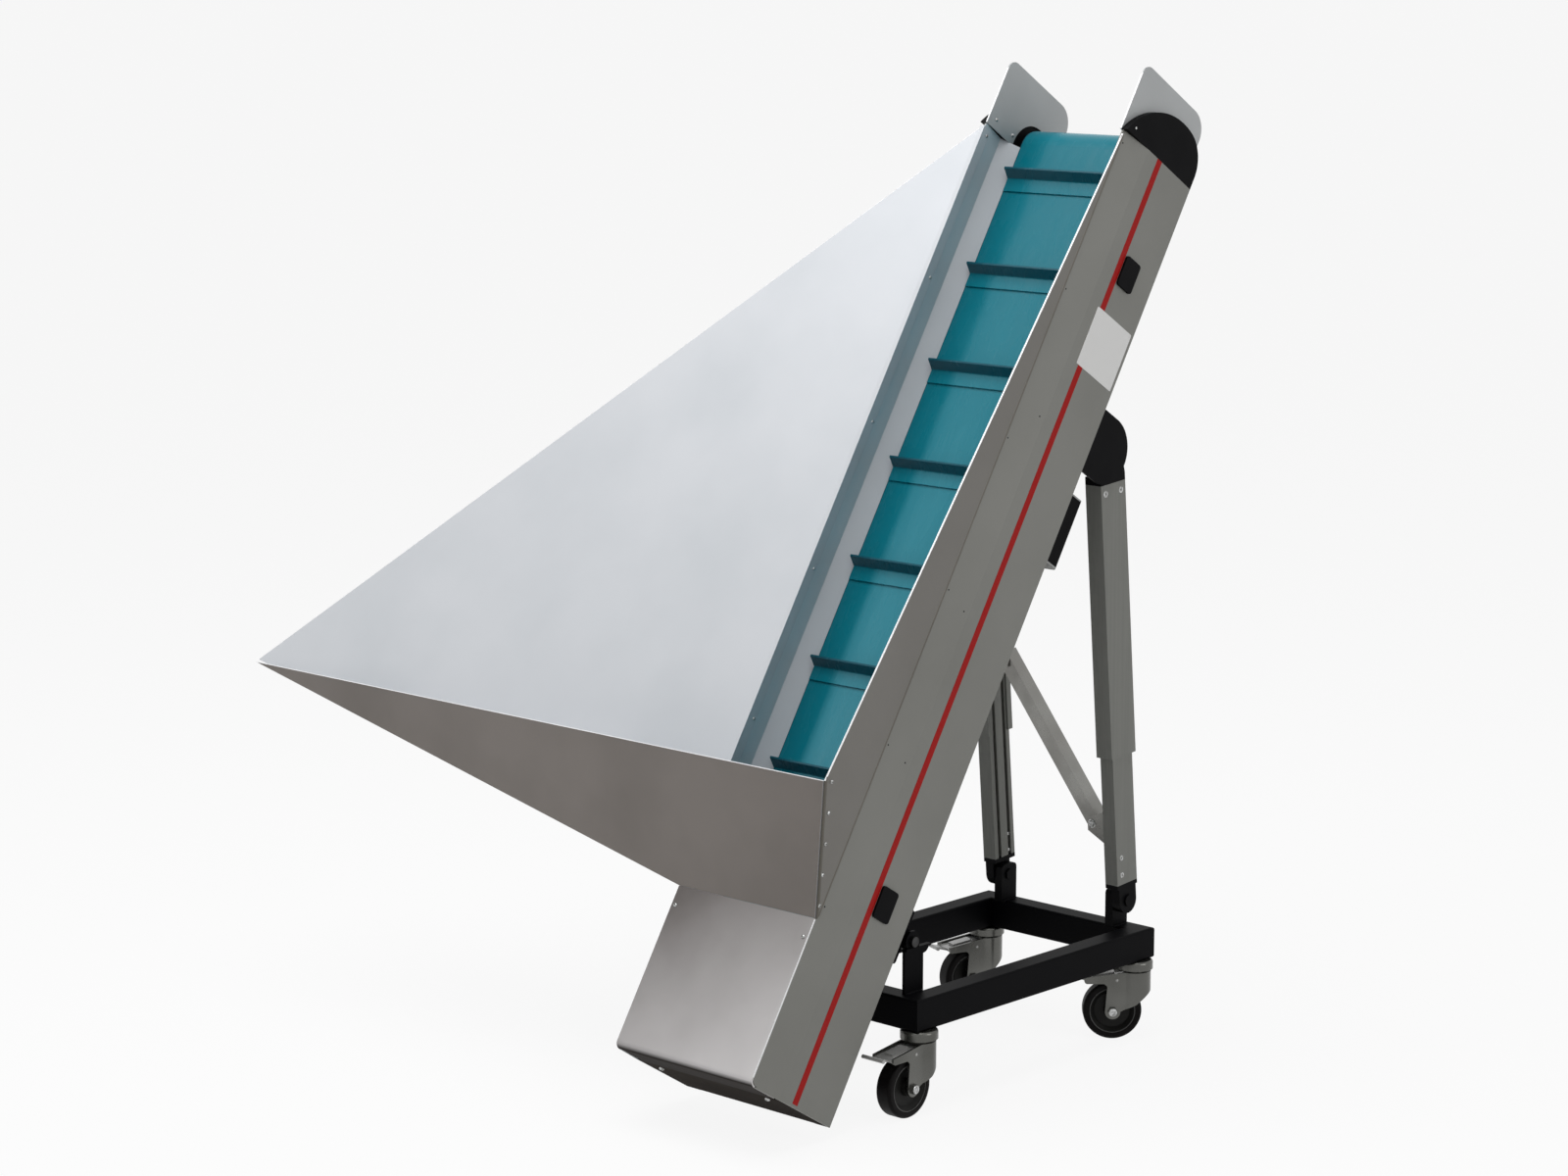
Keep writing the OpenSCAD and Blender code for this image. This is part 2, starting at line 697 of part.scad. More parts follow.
// Upper knuckle: an inner ear with its bolt head, and an outer round plate
module top_brackets() {
    ear_x = leg_x - outer_x / 2;
    color(plastic_black) on_belt() both_sides() {
        across(half_w - disc_t, half_w) {
            intersection() {
                translate([top_pin_up, -disc_back]) circle(disc_r, $fn = 96);
                translate([top_pin_up - disc_r, -disc_back - disc_r]) square([2 * disc_r, disc_r]);
            }
            translate([top_pin_up - disc_r, -disc_back]) square([2 * disc_r, disc_back]);
        }
        across(ear_x, ear_x + upper_ear_t) {
            translate([top_pin_up, -top_pin_back]) circle(upper_ear_r);
            translate([top_pin_up - upper_ear_r, -top_pin_back]) square([2 * upper_ear_r, top_pin_back]);
        }
        across(ear_x - bolt_head_t, ear_x + cut) translate([top_pin_up, -top_pin_back])
            circle(bolt_head * leg_pin_r, $fn = 6);
    }
}
box_x = half_w - box_in - box_w;
module box_outline() {
    mirror([0, 1]) difference() {
        square([box_w, box_d]);
        for (side = [0, 1]) translate([side * box_w, box_d]) mirror([side, 0]) round_off(box_r);
    }
}
module control_box() {
    color(plastic_black) on_belt() translate([box_x, 0, -seat]) along(box_up, box_len)
        intersection() {
            box_outline();
            translate([0, seat - box_d]) square([box_w, box_d - seat]);
        }
}
module box_brackets() {
    color(zinc) on_belt() translate([box_x, 0, 0])
        for (end = [0, 1]) translate([0, box_up + end * box_len, 0]) mirror([0, 1 - end, 0]) {
            along(seat, box_tab_t) box_outline();
            translate([0, seat, -box_tab_t]) cube([box_w, box_tab, box_tab_t]);
        }
}
module latch_covers() {
    color(plastic_black) on_belt() both_sides() for (s = [latch_low, conv_len - latch_down])
        across(half_w, half_w + latch_t)
            translate([s + latch_len / 2, latch_n + latch_w / 2]) round_rect(latch_len, latch_w, latch_r);
}

// Legs
lug_side = 3;
module inner_section() {
    difference() {
        square([inner_x, inner_y], center = true);
        for (y = [-inner_y / 4, inner_y / 4]) {
            translate([-inner_x / 2 - cut, y - slot_w / 2]) square([slot_d + cut, slot_w]);
            translate([-inner_x / 2 + slot_mouth, y - slot_in_w / 2])
                square([slot_d - slot_mouth, slot_in_w]);
        }
    }
}
module inner_profiles() {
    color(aluminium) both_sides() on_leg() translate([0, 0, inner_gap])
        linear_extrude(inner_len) inner_section();
}
leg_head_t = 2.5;
module leg_feet() {
    head_t = leg_head_t;
    head_r = bolt_head * leg_pin_r;
    color(plastic_black) both_sides() on_leg() {
        translate([-inner_x / 2, -inner_y / 2, inner_gap - foot_block]) cube([inner_x, inner_y, foot_block]);
        across(-lug_side, inner_x / 2) {
            circle(knuckle_r);
            translate([-knuckle_r, 0]) square([2 * knuckle_r, inner_gap - foot_block]);
        }
        rotate([0, 90, 0]) translate([0, 0, -lug_side - ear_t - head_t]) {
            cylinder(r = leg_pin_r, h = lug_side + ear_t + head_t);
            cylinder(r = head_r, h = head_t - 2 * seat, $fn = 6);
        }
        rotate([0, 90, 0]) cylinder(r = head_r, h = inner_x / 2 + head_t);
    }
}
// One end of the brace: a pad on the inner profile and a gusset plate under the angle bar
module brace_end(bolt_z) {
    face_x = leg_x - inner_x / 2 - seat;
    gusset_w = brace_in + pad_t + brace_w / 5;
    pad_low = -brace_w - brace_w / 3;
    translate([face_x - pad_t, -pad_w / 2, bolt_z + pad_low]) cube([pad_t, pad_w, brace_w - pad_low]);
    translate([face_x, -pad_w / 2 + gusset_t, bolt_z]) rotate([90, 0, 0]) linear_extrude(gusset_t)
        polygon([[0, pad_low], [-gusset_w, -brace_w / 2], [-gusset_w, brace_w / 3], [0, brace_w]]);
}
module leg_brace() {
    bolt_x = leg_x - inner_x / 2 - brace_in;
    mid_z = (brace_low + brace_high) / 2;
    rise = brace_high - brace_low;
    tilt = atan2(2 * bolt_x, rise);
    bar = sqrt(rise * rise + 4 * bolt_x * bolt_x) + brace_w;
    front = gusset_t - pad_w / 2;
    color(zinc) translate([0, low_pin_y, low_pin_z]) rotate([leg_lean, 0, 0]) {
        brace_end(brace_low);
        translate([0, 0, 2 * mid_z]) rotate([0, 180, 0]) brace_end(brace_low);
        translate([0, front, mid_z]) rotate([0, -tilt, 0]) translate([-brace_w / 2, 0, -bar / 2]) {
            cube([brace_w, brace_t, bar]);
            translate([brace_w - brace_t, 0, 0]) cube([brace_t, brace_w, bar]);
        }
    }
}
module channel_section() {
    in_y = outer_y - 2 * outer_wall;
    difference() {
        square([outer_x, outer_y], center = true);
        square([outer_x - 2 * outer_wall, in_y], center = true);
        translate([-outer_x / 2, 0]) square([4 * outer_wall, in_y - 2 * outer_lip], center = true);
    }
}
module outer_channels() {
    color(aluminium) both_sides() on_leg() translate([0, 0, outer_start])
        linear_extrude(outer_end - outer_start) channel_section();
}
module leg_heads() {
    half_y = outer_y / 2;
    plug_y = half_y - outer_wall - seat;
    plug_x = outer_x / 2 - outer_wall - seat;
    color(plastic_black) both_sides() on_leg() {
        translate([-plug_x, -plug_y, outer_end - head_plug]) cube([2 * plug_x, 2 * plug_y, head_plug + cut]);
        translate([-outer_x / 2, -half_y, outer_end + seat]) cube([outer_x, outer_y, head_block]);
        across(upper_ear_t + eye_gap - outer_x / 2, outer_x / 2) {
            translate([0, leg_len]) circle(eye_r);
            polygon([[-half_y, outer_end + head_block], [half_y, outer_end + head_block],
                [eye_r, leg_len], [-eye_r, leg_len]]);
        }
    }
}

// Casters: swivel places, and the heading of each wheel at rest in the order of the names
caster_x = tube_x;
caster_y = frame_len / 2 - caster_in;
axle_z = wheel_r;
axle_r = 4;
fork_in = wheel_w / 2 + fork_gap;
neck_h = 3;
fork_top = caster_h - head_h - neck_h;
fork_flat = caster_trail / 2;
module at_caster(right, rear, heading) {
    translate([(right ? 1 : -1) * caster_x, (rear ? 1 : -1) * caster_y, 0]) rotate(heading) children();
}
// Side view of the fork: an arm under the pedal and a leg that narrows to the axle
module fork_outline() {
    arm_z = fork_top - fork_drop - fork_arm_d;
    front = caster_trail + fork_leg;
    end_r = fork_end_r;
    difference() {
        union() {
            polygon([[-fork_back_r - cut, fork_top], [fork_flat, fork_top], [fork_arm, fork_top - fork_drop],
                [fork_arm, arm_z], [front, arm_z], [caster_trail + end_r, axle_z],
                [caster_trail - end_r, axle_z], [-cut, axle_z + end_r],
                [-fork_back_r - cut, arm_z - end_r]]);
            translate([caster_trail, axle_z]) circle(end_r);
            translate([front - cut, arm_z + cut]) mirror([0, 1]) fillet(end_r);
        }
        translate([fork_arm, arm_z]) rotate(180) round_off(fork_arm_d / 2);
    }
}
module fork_plan(r, side, reach) {
    circle(r);
    translate([0, -side]) square([reach, 2 * side]);
}
module fork() {
    side_out = fork_in + fork_t;
    head_round = head_h / 3;
    color(zinc) {
        intersection() {
            translate([0, fork_back_r + cut, 0]) rotate([90, 0, 0])
                linear_extrude(2 * (fork_back_r + cut)) fork_outline();
            difference() {
                linear_extrude(fork_top) fork_plan(fork_back_r, side_out, fork_arm + cut);
                translate([0, 0, -cut]) linear_extrude(fork_top + cut - fork_t)
                    fork_plan(fork_back_r - fork_t, fork_in, fork_arm + 2 * cut);
                translate([fork_flat, -fork_in, 0]) cube([fork_arm, 2 * fork_in, fork_top + cut]);
            }
        }
        translate([0, 0, fork_top - cut]) cylinder(r = head_r - 2 * head_round, h = neck_h + 2 * cut);
        translate([0, 0, caster_h - head_h]) rotate_extrude() {
            square([head_r, head_h - head_round - seat]);
            square([head_r - head_round, head_h - seat]);
            translate([head_r - head_round, head_h - head_round - seat]) circle(head_round);
        }
        translate([caster_trail, 0, axle_z]) rotate([90, 0, 0]) {
            cylinder(r = axle_r, h = 2 * side_out + axle_r, center = true);
            for (side = [-1, 1]) translate([0, 0, side * (side_out + axle_r / 2)])
                cylinder(r = bolt_head * axle_r, h = axle_r, center = true, $fn = 6);
        }
    }
}
// Brake pedal: a plate between the fork's arms, with a raised pad and a cross bar at its tip
module pedal() {
    plate_w = 2 * fork_in - 2 * seat;
    plate_t = fork_t;
    root_top = fork_top - fork_t - seat;
    sink = 2 * fork_t;
    tip_z = fork_top - fork_drop + plate_t;
    bar_r = fork_t;
    pad_x = (fork_flat + fork_arm) / 2;
    slope = atan2(fork_drop, fork_arm - fork_flat);
    color(zinc) {
        translate([-caster_trail / 4, -plate_w / 2, root_top - sink]) cube([fork_flat, plate_w, sink]);
        translate([0, plate_w / 2, 0]) rotate([90, 0, 0]) linear_extrude(plate_w)
            polygon([[0, root_top - sink], [0, root_top - plate_t], [fork_flat, root_top - plate_t / 2],
                [fork_arm, root_top - fork_drop], [fork_arm, root_top - fork_drop - plate_t],
                [fork_flat, root_top - sink]]);
        translate([pad_x, 0, root_top - fork_drop / 2 - plate_t]) rotate([0, slope, 0])
            linear_extrude(2 * plate_t) round_rect(plate_w, plate_w / 2, plate_t);
        translate([0, plate_w / 3, 0]) rotate([90, 0, 0]) linear_extrude(2 * plate_w / 3)
            polygon([[fork_arm - cut, root_top - fork_drop - plate_t], [fork_arm - cut, root_top - fork_drop],
                [pedal_reach - bar_r, tip_z], [pedal_reach - bar_r, tip_z - plate_t]]);
        translate([pedal_reach - bar_r, 0, tip_z - plate_t / 2]) rotate([90, 0, 0])
            cylinder(r = bar_r, h = pedal_bar, center = true);
    }
}
module tyre() {
    color(plastic_black) translate([caster_trail, 0, axle_z]) rotate([90, 0, 0]) rotate_extrude($fn = 64) {
        translate([hub_r, -wheel_w / 2]) square([wheel_r - hub_r - shoulder_r, wheel_w]);
        translate([hub_r, shoulder_r - wheel_w / 2]) square([wheel_r - hub_r, wheel_w - 2 * shoulder_r]);
        for (side = [-1, 1])
            translate([wheel_r - shoulder_r, side * (wheel_w / 2 - shoulder_r)]) circle(shoulder_r);
    }
}
// Wheel disc: a rim, a web that falls away to a dish on both faces, and a boss round the bore
module hub() {
    face = wheel_w / 2 - cut;
    rim_in = hub_r - rim_t;
    boss = hub_r / 3;
    bore = axle_r + pin_gap;
    web = face - hub_dish;
    color(plastic_grey) translate([caster_trail, 0, axle_z]) rotate([90, 0, 0]) rotate_extrude($fn = 64)
        polygon([[bore, -face], [boss, -face], [boss + cut, -web], [rim_in - hub_dish, -web], [rim_in, -face],
            [hub_r, -face], [hub_r, face], [rim_in, face], [rim_in - hub_dish, web], [boss + cut, web],
            [boss, face], [bore, face]]);
}
head_fr = -90;
head_fl = -137;
head_rr = -137;
head_rl = -110;
module fork_front_right() { at_caster(true, false, head_fr) fork(); }
module pedal_front_right() { at_caster(true, false, head_fr) pedal(); }
module tyre_front_right() { at_caster(true, false, head_fr) tyre(); }
module hub_front_right() { at_caster(true, false, head_fr) hub(); }
module fork_front_left() { at_caster(false, false, head_fl) fork(); }
module pedal_front_left() { at_caster(false, false, head_fl) pedal(); }
module tyre_front_left() { at_caster(false, false, head_fl) tyre(); }
module hub_front_left() { at_caster(false, false, head_fl) hub(); }
module fork_rear_right() { at_caster(true, true, head_rr) fork(); }
module pedal_rear_right() { at_caster(true, true, head_rr) pedal(); }
module tyre_rear_right() { at_caster(true, true, head_rr) tyre(); }
module hub_rear_right() { at_caster(true, true, head_rr) hub(); }
module fork_rear_left() { at_caster(false, true, head_rl) fork(); }
module pedal_rear_left() { at_caster(false, true, head_rl) pedal(); }
module tyre_rear_left() { at_caster(false, true, head_rl) tyre(); }
module hub_rear_left() { at_caster(false, true, head_rl) hub(); }

side_tubes();
cross_tubes();
front_posts();
pivot_bolts();
leg_brackets();
side_wall_right();
side_wall_left();
rear_pan();
foot_plate();
foot_cover();
feed_baffle();
slider_bed();
skirts();
head_drum();
tail_drum();
belt();
end_caps();
guide_plates();
hopper_front();
hopper_left();
hopper_right();
pivot_lugs();
top_brackets();
control_box();
box_brackets();
latch_covers();
inner_profiles();
leg_feet();
leg_brace();
outer_channels();
leg_heads();
fork_front_right();
pedal_front_right();
tyre_front_right();
hub_front_right();
fork_front_left();
pedal_front_left();
tyre_front_left();
hub_front_left();
fork_rear_right();
pedal_rear_right();
tyre_rear_right();
hub_rear_right();
fork_rear_left();
pedal_rear_left();
tyre_rear_left();
hub_rear_left();
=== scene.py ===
"""A mobile steep belt conveyor with a side feed hopper: finishes, small hardware, lights and camera.

X runs across the belt, Y runs back under the discharge end, Z is up. Sizes and shapes are in millimetres,
and piece() sets them down in metres. Finishes, lights and the camera are in metres.

Belt coordinates are (across, up the belt, off the rear face). Leg coordinates have their origin in the
lower pin, with Z up the leg. Caster coordinates have their origin under the swivel, with X to the axle.
"""
import json
import math

import bpy
import numpy as np
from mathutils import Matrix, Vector


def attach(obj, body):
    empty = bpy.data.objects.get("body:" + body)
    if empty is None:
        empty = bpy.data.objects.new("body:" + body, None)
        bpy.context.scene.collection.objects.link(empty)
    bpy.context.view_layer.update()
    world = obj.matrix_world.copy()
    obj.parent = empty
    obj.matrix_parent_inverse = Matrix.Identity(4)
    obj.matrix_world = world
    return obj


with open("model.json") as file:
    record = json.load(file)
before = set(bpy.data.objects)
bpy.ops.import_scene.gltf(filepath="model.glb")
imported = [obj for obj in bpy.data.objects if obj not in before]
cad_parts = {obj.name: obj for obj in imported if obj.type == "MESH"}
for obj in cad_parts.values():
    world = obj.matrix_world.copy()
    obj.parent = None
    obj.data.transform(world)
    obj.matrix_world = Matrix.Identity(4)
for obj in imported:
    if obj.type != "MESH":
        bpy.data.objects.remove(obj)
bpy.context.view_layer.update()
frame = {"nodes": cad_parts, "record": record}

# Metres in a millimetre
MM = 0.001

# The conveyor's incline, the place of its foot and its sheets
INCLINE = math.radians(58)
FOOT_Y = -365.95
FOOT_Z = 13.88
CONVEYOR_LEN = 1270
HALF_WIDTH = 119
HALF_FRONT = 112
WALL_TOP = 152
COVER_LEN = 210
SHEET = 2

# The belt and the axes of its drums
TAIL_UP = 62
HEAD_UP = 1276
DRUM_OFF = 56
BELT_RADIUS = 32

# Corners of the hopper's three sheets, in belt coordinates, and the step from the front to the left one
LOW_UP = 211.2
TIP_UP = 1264
PANEL_OFF = 152.4
RIM_LEFT = np.array([-915.0, 354, 238])
RIM_RIGHT = np.array([122.0, 354, 238])
LOW_RIGHT = np.array([HALF_FRONT, LOW_UP, PANEL_OFF])
TIP_RIGHT = np.array([HALF_FRONT, TIP_UP, PANEL_OFF])
LOW_LEFT = np.array([-HALF_FRONT, LOW_UP, PANEL_OFF + SHEET])
TIP_LEFT = np.array([-HALF_FRONT, TIP_UP, PANEL_OFF + SHEET])
RIM_STEP = np.array([0.0, 4, 0])

# The right leg's lower pin and lean, and the top of the carriage's tubes
LEG_PIN = np.array([102.5, 212, 180])
LEG_LEAN = math.radians(4.964)
TUBE_TOP = 145

# The casters: swivels, axle, half the width over the fork's arms, and headings in degrees
CASTER_X = 125
CASTER_Y = 212
AXLE_X = 29
AXLE_Z = 38
FORK_SIDE = 17
HEADINGS = {"front_right": -90, "front_left": -137, "rear_right": -137, "rear_left": -110}

# Edges that turn by more than this stay sharp
SHARP_EDGE = math.radians(32)


# Places and turns

def turn_about_x(angle):
    """Rows are the images of the three axes under a turn about X."""
    cos, sin = math.cos(angle), math.sin(angle)
    return np.array([[1, 0, 0], [0, cos, sin], [0, -sin, cos]])


def turn_about_z(angle):
    """Rows are the images of the three axes under a turn about Z."""
    cos, sin = math.cos(angle), math.sin(angle)
    return np.array([[cos, sin, 0], [-sin, cos, 0], [0, 0, 1]])


BELT_TURN = turn_about_x(INCLINE)
LEG_TURN = turn_about_x(LEG_LEAN)
ACROSS = BELT_TURN[0]
UP_BELT = BELT_TURN[1]
OFF_BELT = BELT_TURN[2]


def on_belt(points):
    """Belt coordinates to the world: a turn by the incline about X, then a shift to the foot."""
    return np.asarray(points, float) @ BELT_TURN + [0, FOOT_Y, FOOT_Z]


def on_leg(points):
    """Leg coordinates of the right leg to the world: a turn by the leg's lean, then a shift to its pin."""
    return np.asarray(points, float) @ LEG_TURN + LEG_PIN


def at_caster(points, corner):
    """Caster coordinates to the world: a turn by the wheel's heading, then a shift to the swivel."""
    right, rear = corner.endswith("right"), corner.startswith("rear")
    shift = [CASTER_X if right else -CASTER_X, CASTER_Y if rear else -CASTER_Y, 0]
    return np.asarray(points, float) @ turn_about_z(math.radians(HEADINGS[corner])) + shift


def facing(normals):
    """For each normal, a turn whose third row is the normal and whose first row is level."""
    out = np.asarray(normals, float)
    out = out / np.linalg.norm(out, axis=1, keepdims=True)
    side = np.cross([0, 0, 1.0], out)
    upright = np.linalg.norm(side, axis=1) < 1e-6
    side[upright] = [1, 0, 0]
    side = side / np.linalg.norm(side, axis=1, keepdims=True)
    return np.stack([side, np.cross(out, side), out], 1)


# Shapes as arrays

def grid_faces(rows, cols):
    """Quads between rows of points that close on themselves along each row."""
    row, col = np.meshgrid(np.arange(rows - 1), np.arange(cols), indexing="ij")
    after = (col + 1) % cols
    quads = np.stack([row * cols + col, row * cols + after,
                      (row + 1) * cols + after, (row + 1) * cols + col], -1)
    return quads.reshape(-1, 4)


def closed_rings(rings):
    """Rings of points, first to last, closed with a fan to the middle of each end ring."""
    rings = np.asarray(rings, float)
    rows, cols = rings.shape[:2]
    points = np.concatenate([rings.reshape(-1, 3), [rings[0].mean(0), rings[-1].mean(0)]])
    turn = np.arange(cols)
    low, high, top = rows * cols, rows * cols + 1, (rows - 1) * cols
    low_fan = np.stack([(turn + 1) % cols, turn, np.full(cols, low)], -1)
    high_fan = np.stack([top + turn, top + (turn + 1) % cols, np.full(cols, high)], -1)
    return points, grid_faces(rows, cols).tolist() + low_fan.tolist() + high_fan.tolist()


def turned(radii, heights, sides=24):
    """A profile turned about Z: point = (r cos a, r sin a, h), from its foot to its top."""
    turn = np.arange(sides) * 2 * math.pi / sides
    radii, heights = np.asarray(radii, float)[:, None], np.asarray(heights, float)[:, None]
    rings = np.stack([radii * np.cos(turn), radii * np.sin(turn), heights + 0 * turn], -1)
    return closed_rings(rings)


def round_ring(radius, tube, sides=64, around=8):
    """A ring about Z: point = ((R + r cos b) cos a, (R + r cos b) sin a, r sin b)."""
    turn = np.arange(sides) * 2 * math.pi / sides
    arc = np.linspace(0, 2 * math.pi, around, endpoint=False)[:, None]
    reach = radius + tube * np.cos(arc)
    rings = np.stack([reach * np.cos(turn), reach * np.sin(turn), tube * np.sin(arc) + 0 * turn], -1)
    quads = grid_faces(around + 1, sides) % (around * sides)
    return rings.reshape(-1, 3), quads[:, ::-1].tolist()


def sweep(outline, path, side, lift):
    """A closed flat outline carried along a path: point = path + side * u + lift * v.

    The outline turns from side to lift when seen against the path's direction, so faces point outwards.
    """
    outline, path = np.asarray(outline, float), np.asarray(path, float)
    rings = (path[:, None, :] + outline[None, :, 0, None] * np.asarray(side, float)
             + outline[None, :, 1, None] * np.asarray(lift, float))
    if np.dot(np.cross(side, lift), path[-1] - path[0]) < 0:
        rings = rings[::-1]
    return closed_rings(rings)


def copies(shape, turns, places):
    """The same shape set down at each place, turned by the rows of each turn."""
    points, faces = shape
    count, size = len(places), len(points)
    spread = np.einsum("vi,kij->kvj", points, turns) + np.asarray(places)[:, None, :]
    lists = [[index + k * size for index in face] for k in range(count) for face in faces]
    return spread.reshape(-1, 3), lists


def joined(shapes):
    """Several shapes as one list of points and faces."""
    starts = np.cumsum([0] + [len(points) for points, _ in shapes])
    points = np.concatenate([points for points, _ in shapes])
    faces = [[index + start for index in face] for start, (_, rows) in zip(starts, shapes) for face in rows]
    return points, faces


def mirrored(shape):
    """The same shape on the other side of the machine, with its faces turned to stay outward."""
    points, faces = shape
    return points * [-1, 1, 1], [face[::-1] for face in faces]


def both_sides(shape):
    """A shape on the right of the machine together with its mirror image on the left."""
    return joined([shape, mirrored(shape)])


def piece(name, shape, body, finish):
    """A mesh piece that rides on a body of the frame, set down in metres."""
    points, faces = shape
    mesh = bpy.data.meshes.new(name)
    mesh.from_pydata((np.asarray(points) * MM).tolist(), [], faces)
    mesh.polygons.foreach_set("use_smooth", np.ones(len(mesh.polygons), bool))
    mesh.set_sharp_from_angle(angle=SHARP_EDGE)
    mesh.materials.append(finish)
    thing = bpy.data.objects.new(name, mesh)
    bpy.context.scene.collection.objects.link(thing)
    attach(thing, body)


# Parts of a finish

def finish_nodes(name, colour, metal, rough, gloss=0.5):
    """A new finish with its colour, metal, roughness and gloss level set on the shader."""
    finish = bpy.data.materials.new(name)
    finish.use_nodes = True
    nodes, links = finish.node_tree.nodes, finish.node_tree.links
    shader = nodes["Principled BSDF"]
    shader.inputs["Base Color"].default_value = (*colour, 1)
    shader.inputs["Metallic"].default_value = metal
    shader.inputs["Roughness"].default_value = rough
    shader.inputs["Specular IOR Level"].default_value = gloss
    place = nodes.new("ShaderNodeTexCoord").outputs["Object"]
    return finish, nodes, links, shader, place


def noise(nodes, links, place, scale, detail=4.0, turn=(0, 0, 0), stretch=(1, 1, 1)):
    """Noise over the object's own coordinates, turned and stretched where the finish has a grain."""
    mapping = nodes.new("ShaderNodeMapping")
    mapping.inputs["Rotation"].default_value = turn
    mapping.inputs["Scale"].default_value = stretch
    links.new(place, mapping.inputs["Vector"])
    node = nodes.new("ShaderNodeTexNoise")
    node.inputs["Scale"].default_value = scale
    node.inputs["Detail"].default_value = detail
    links.new(mapping.outputs["Vector"], node.inputs["Vector"])
    return node.outputs["Fac"]


def remap(nodes, links, value, low, high, new_low=0.0, new_high=1.0):
    """The value's range from low to high becomes new_low to new_high."""
    node = nodes.new("ShaderNodeMapRange")
    links.new(value, node.inputs["Value"])
    ends = {"From Min": low, "From Max": high, "To Min": new_low, "To Max": new_high}
    for socket, number in ends.items():
        node.inputs[socket].default_value = number
    return node.outputs["Result"]


def blend_colours(nodes, links, share, first, second):
    """A colour between two, by the share. Each is either three numbers or another node's colour."""
    node = nodes.new("ShaderNodeMix")
    node.data_type = "RGBA"
    links.new(share, node.inputs["Factor"])
    for socket, colour in (("A", first), ("B", second)):
        if isinstance(colour, tuple):
            node.inputs[socket].default_value = (*colour, 1)
        else:
            links.new(colour, node.inputs[socket])
    return node.outputs["Result"]


def arithmetic(nodes, links, operation, first, second):
    """The sum, product or other operation of two values, the second of which may be a number."""
    node = nodes.new("ShaderNodeMath")
    node.operation = operation
    links.new(first, node.inputs[0])
    if isinstance(second, float):
        node.inputs[1].default_value = second
    else:
        links.new(second, node.inputs[1])
    return node.outputs[0]


def belt_place(nodes, links, place):
    """Belt coordinates of the point, in metres: across, up the belt and off the rear face."""
    foot = np.array([0, FOOT_Y, FOOT_Z]) * MM
    mapping = nodes.new("ShaderNodeMapping")
    mapping.inputs["Rotation"].default_value = (-INCLINE, 0, 0)
    mapping.inputs["Location"].default_value = -(foot @ BELT_TURN.T)
    links.new(place, mapping.inputs["Vector"])
    parts = nodes.new("ShaderNodeSeparateXYZ")
    links.new(mapping.outputs["Vector"], parts.inputs[0])
    return parts.outputs["X"], parts.outputs["Y"], parts.outputs["Z"]


def side_share(nodes, links, way, low=-0.05, high=0.05):
    """One on the side of a sheet that faces the given way, nought on its other side."""
    facing_way = nodes.new("ShaderNodeVectorMath")
    facing_way.operation = "DOT_PRODUCT"
    links.new(nodes.new("ShaderNodeTexCoord").outputs["Normal"], facing_way.inputs[0])
    facing_way.inputs[1].default_value = way
    return remap(nodes, links, facing_way.outputs["Value"], low, high)


def bump(nodes, links, shader, height, depth, strength):
    """Small relief from a height, over the shader's normal."""
    node = nodes.new("ShaderNodeBump")
    node.inputs["Distance"].default_value = depth
    node.inputs["Strength"].default_value = strength
    links.new(height, node.inputs["Height"])
    links.new(node.outputs["Normal"], shader.inputs["Normal"])


# Finishes

def sheet_finish(name, light, dark, metal, rough, cloud=6.0, other=None, way=None, gloss=0.5):
    """Satin sheet: wide soft clouds in the tone, a fine even grain in the gloss and a slight relief.

    The other pair of tones, if there is one, is on the side of the sheet that faces the given way. There it
    is painted light: painted shade on the outer sides of the front panel and the right sheet, a painted
    reflection on the left wall's inner side.
    """
    finish, nodes, links, shader, place = finish_nodes(name, light, metal, rough, gloss)
    clouds = remap(nodes, links, noise(nodes, links, place, cloud, 3.0), 0.35, 0.7)
    tone = blend_colours(nodes, links, clouds, light, dark)
    if other:
        # Painted shade or painted reflection, as the given tones make it, on the side that faces the way
        painted_side_tone = blend_colours(nodes, links, clouds, *other)
        tone = blend_colours(nodes, links, side_share(nodes, links, way), tone, painted_side_tone)
    links.new(tone, shader.inputs["Base Color"])
    fine = noise(nodes, links, place, 900.0, 2.0)
    links.new(remap(nodes, links, fine, 0.3, 0.7, rough - 0.05, rough + 0.05), shader.inputs["Roughness"])
    bump(nodes, links, shader, fine, 0.03 * MM, 0.4)
    return finish


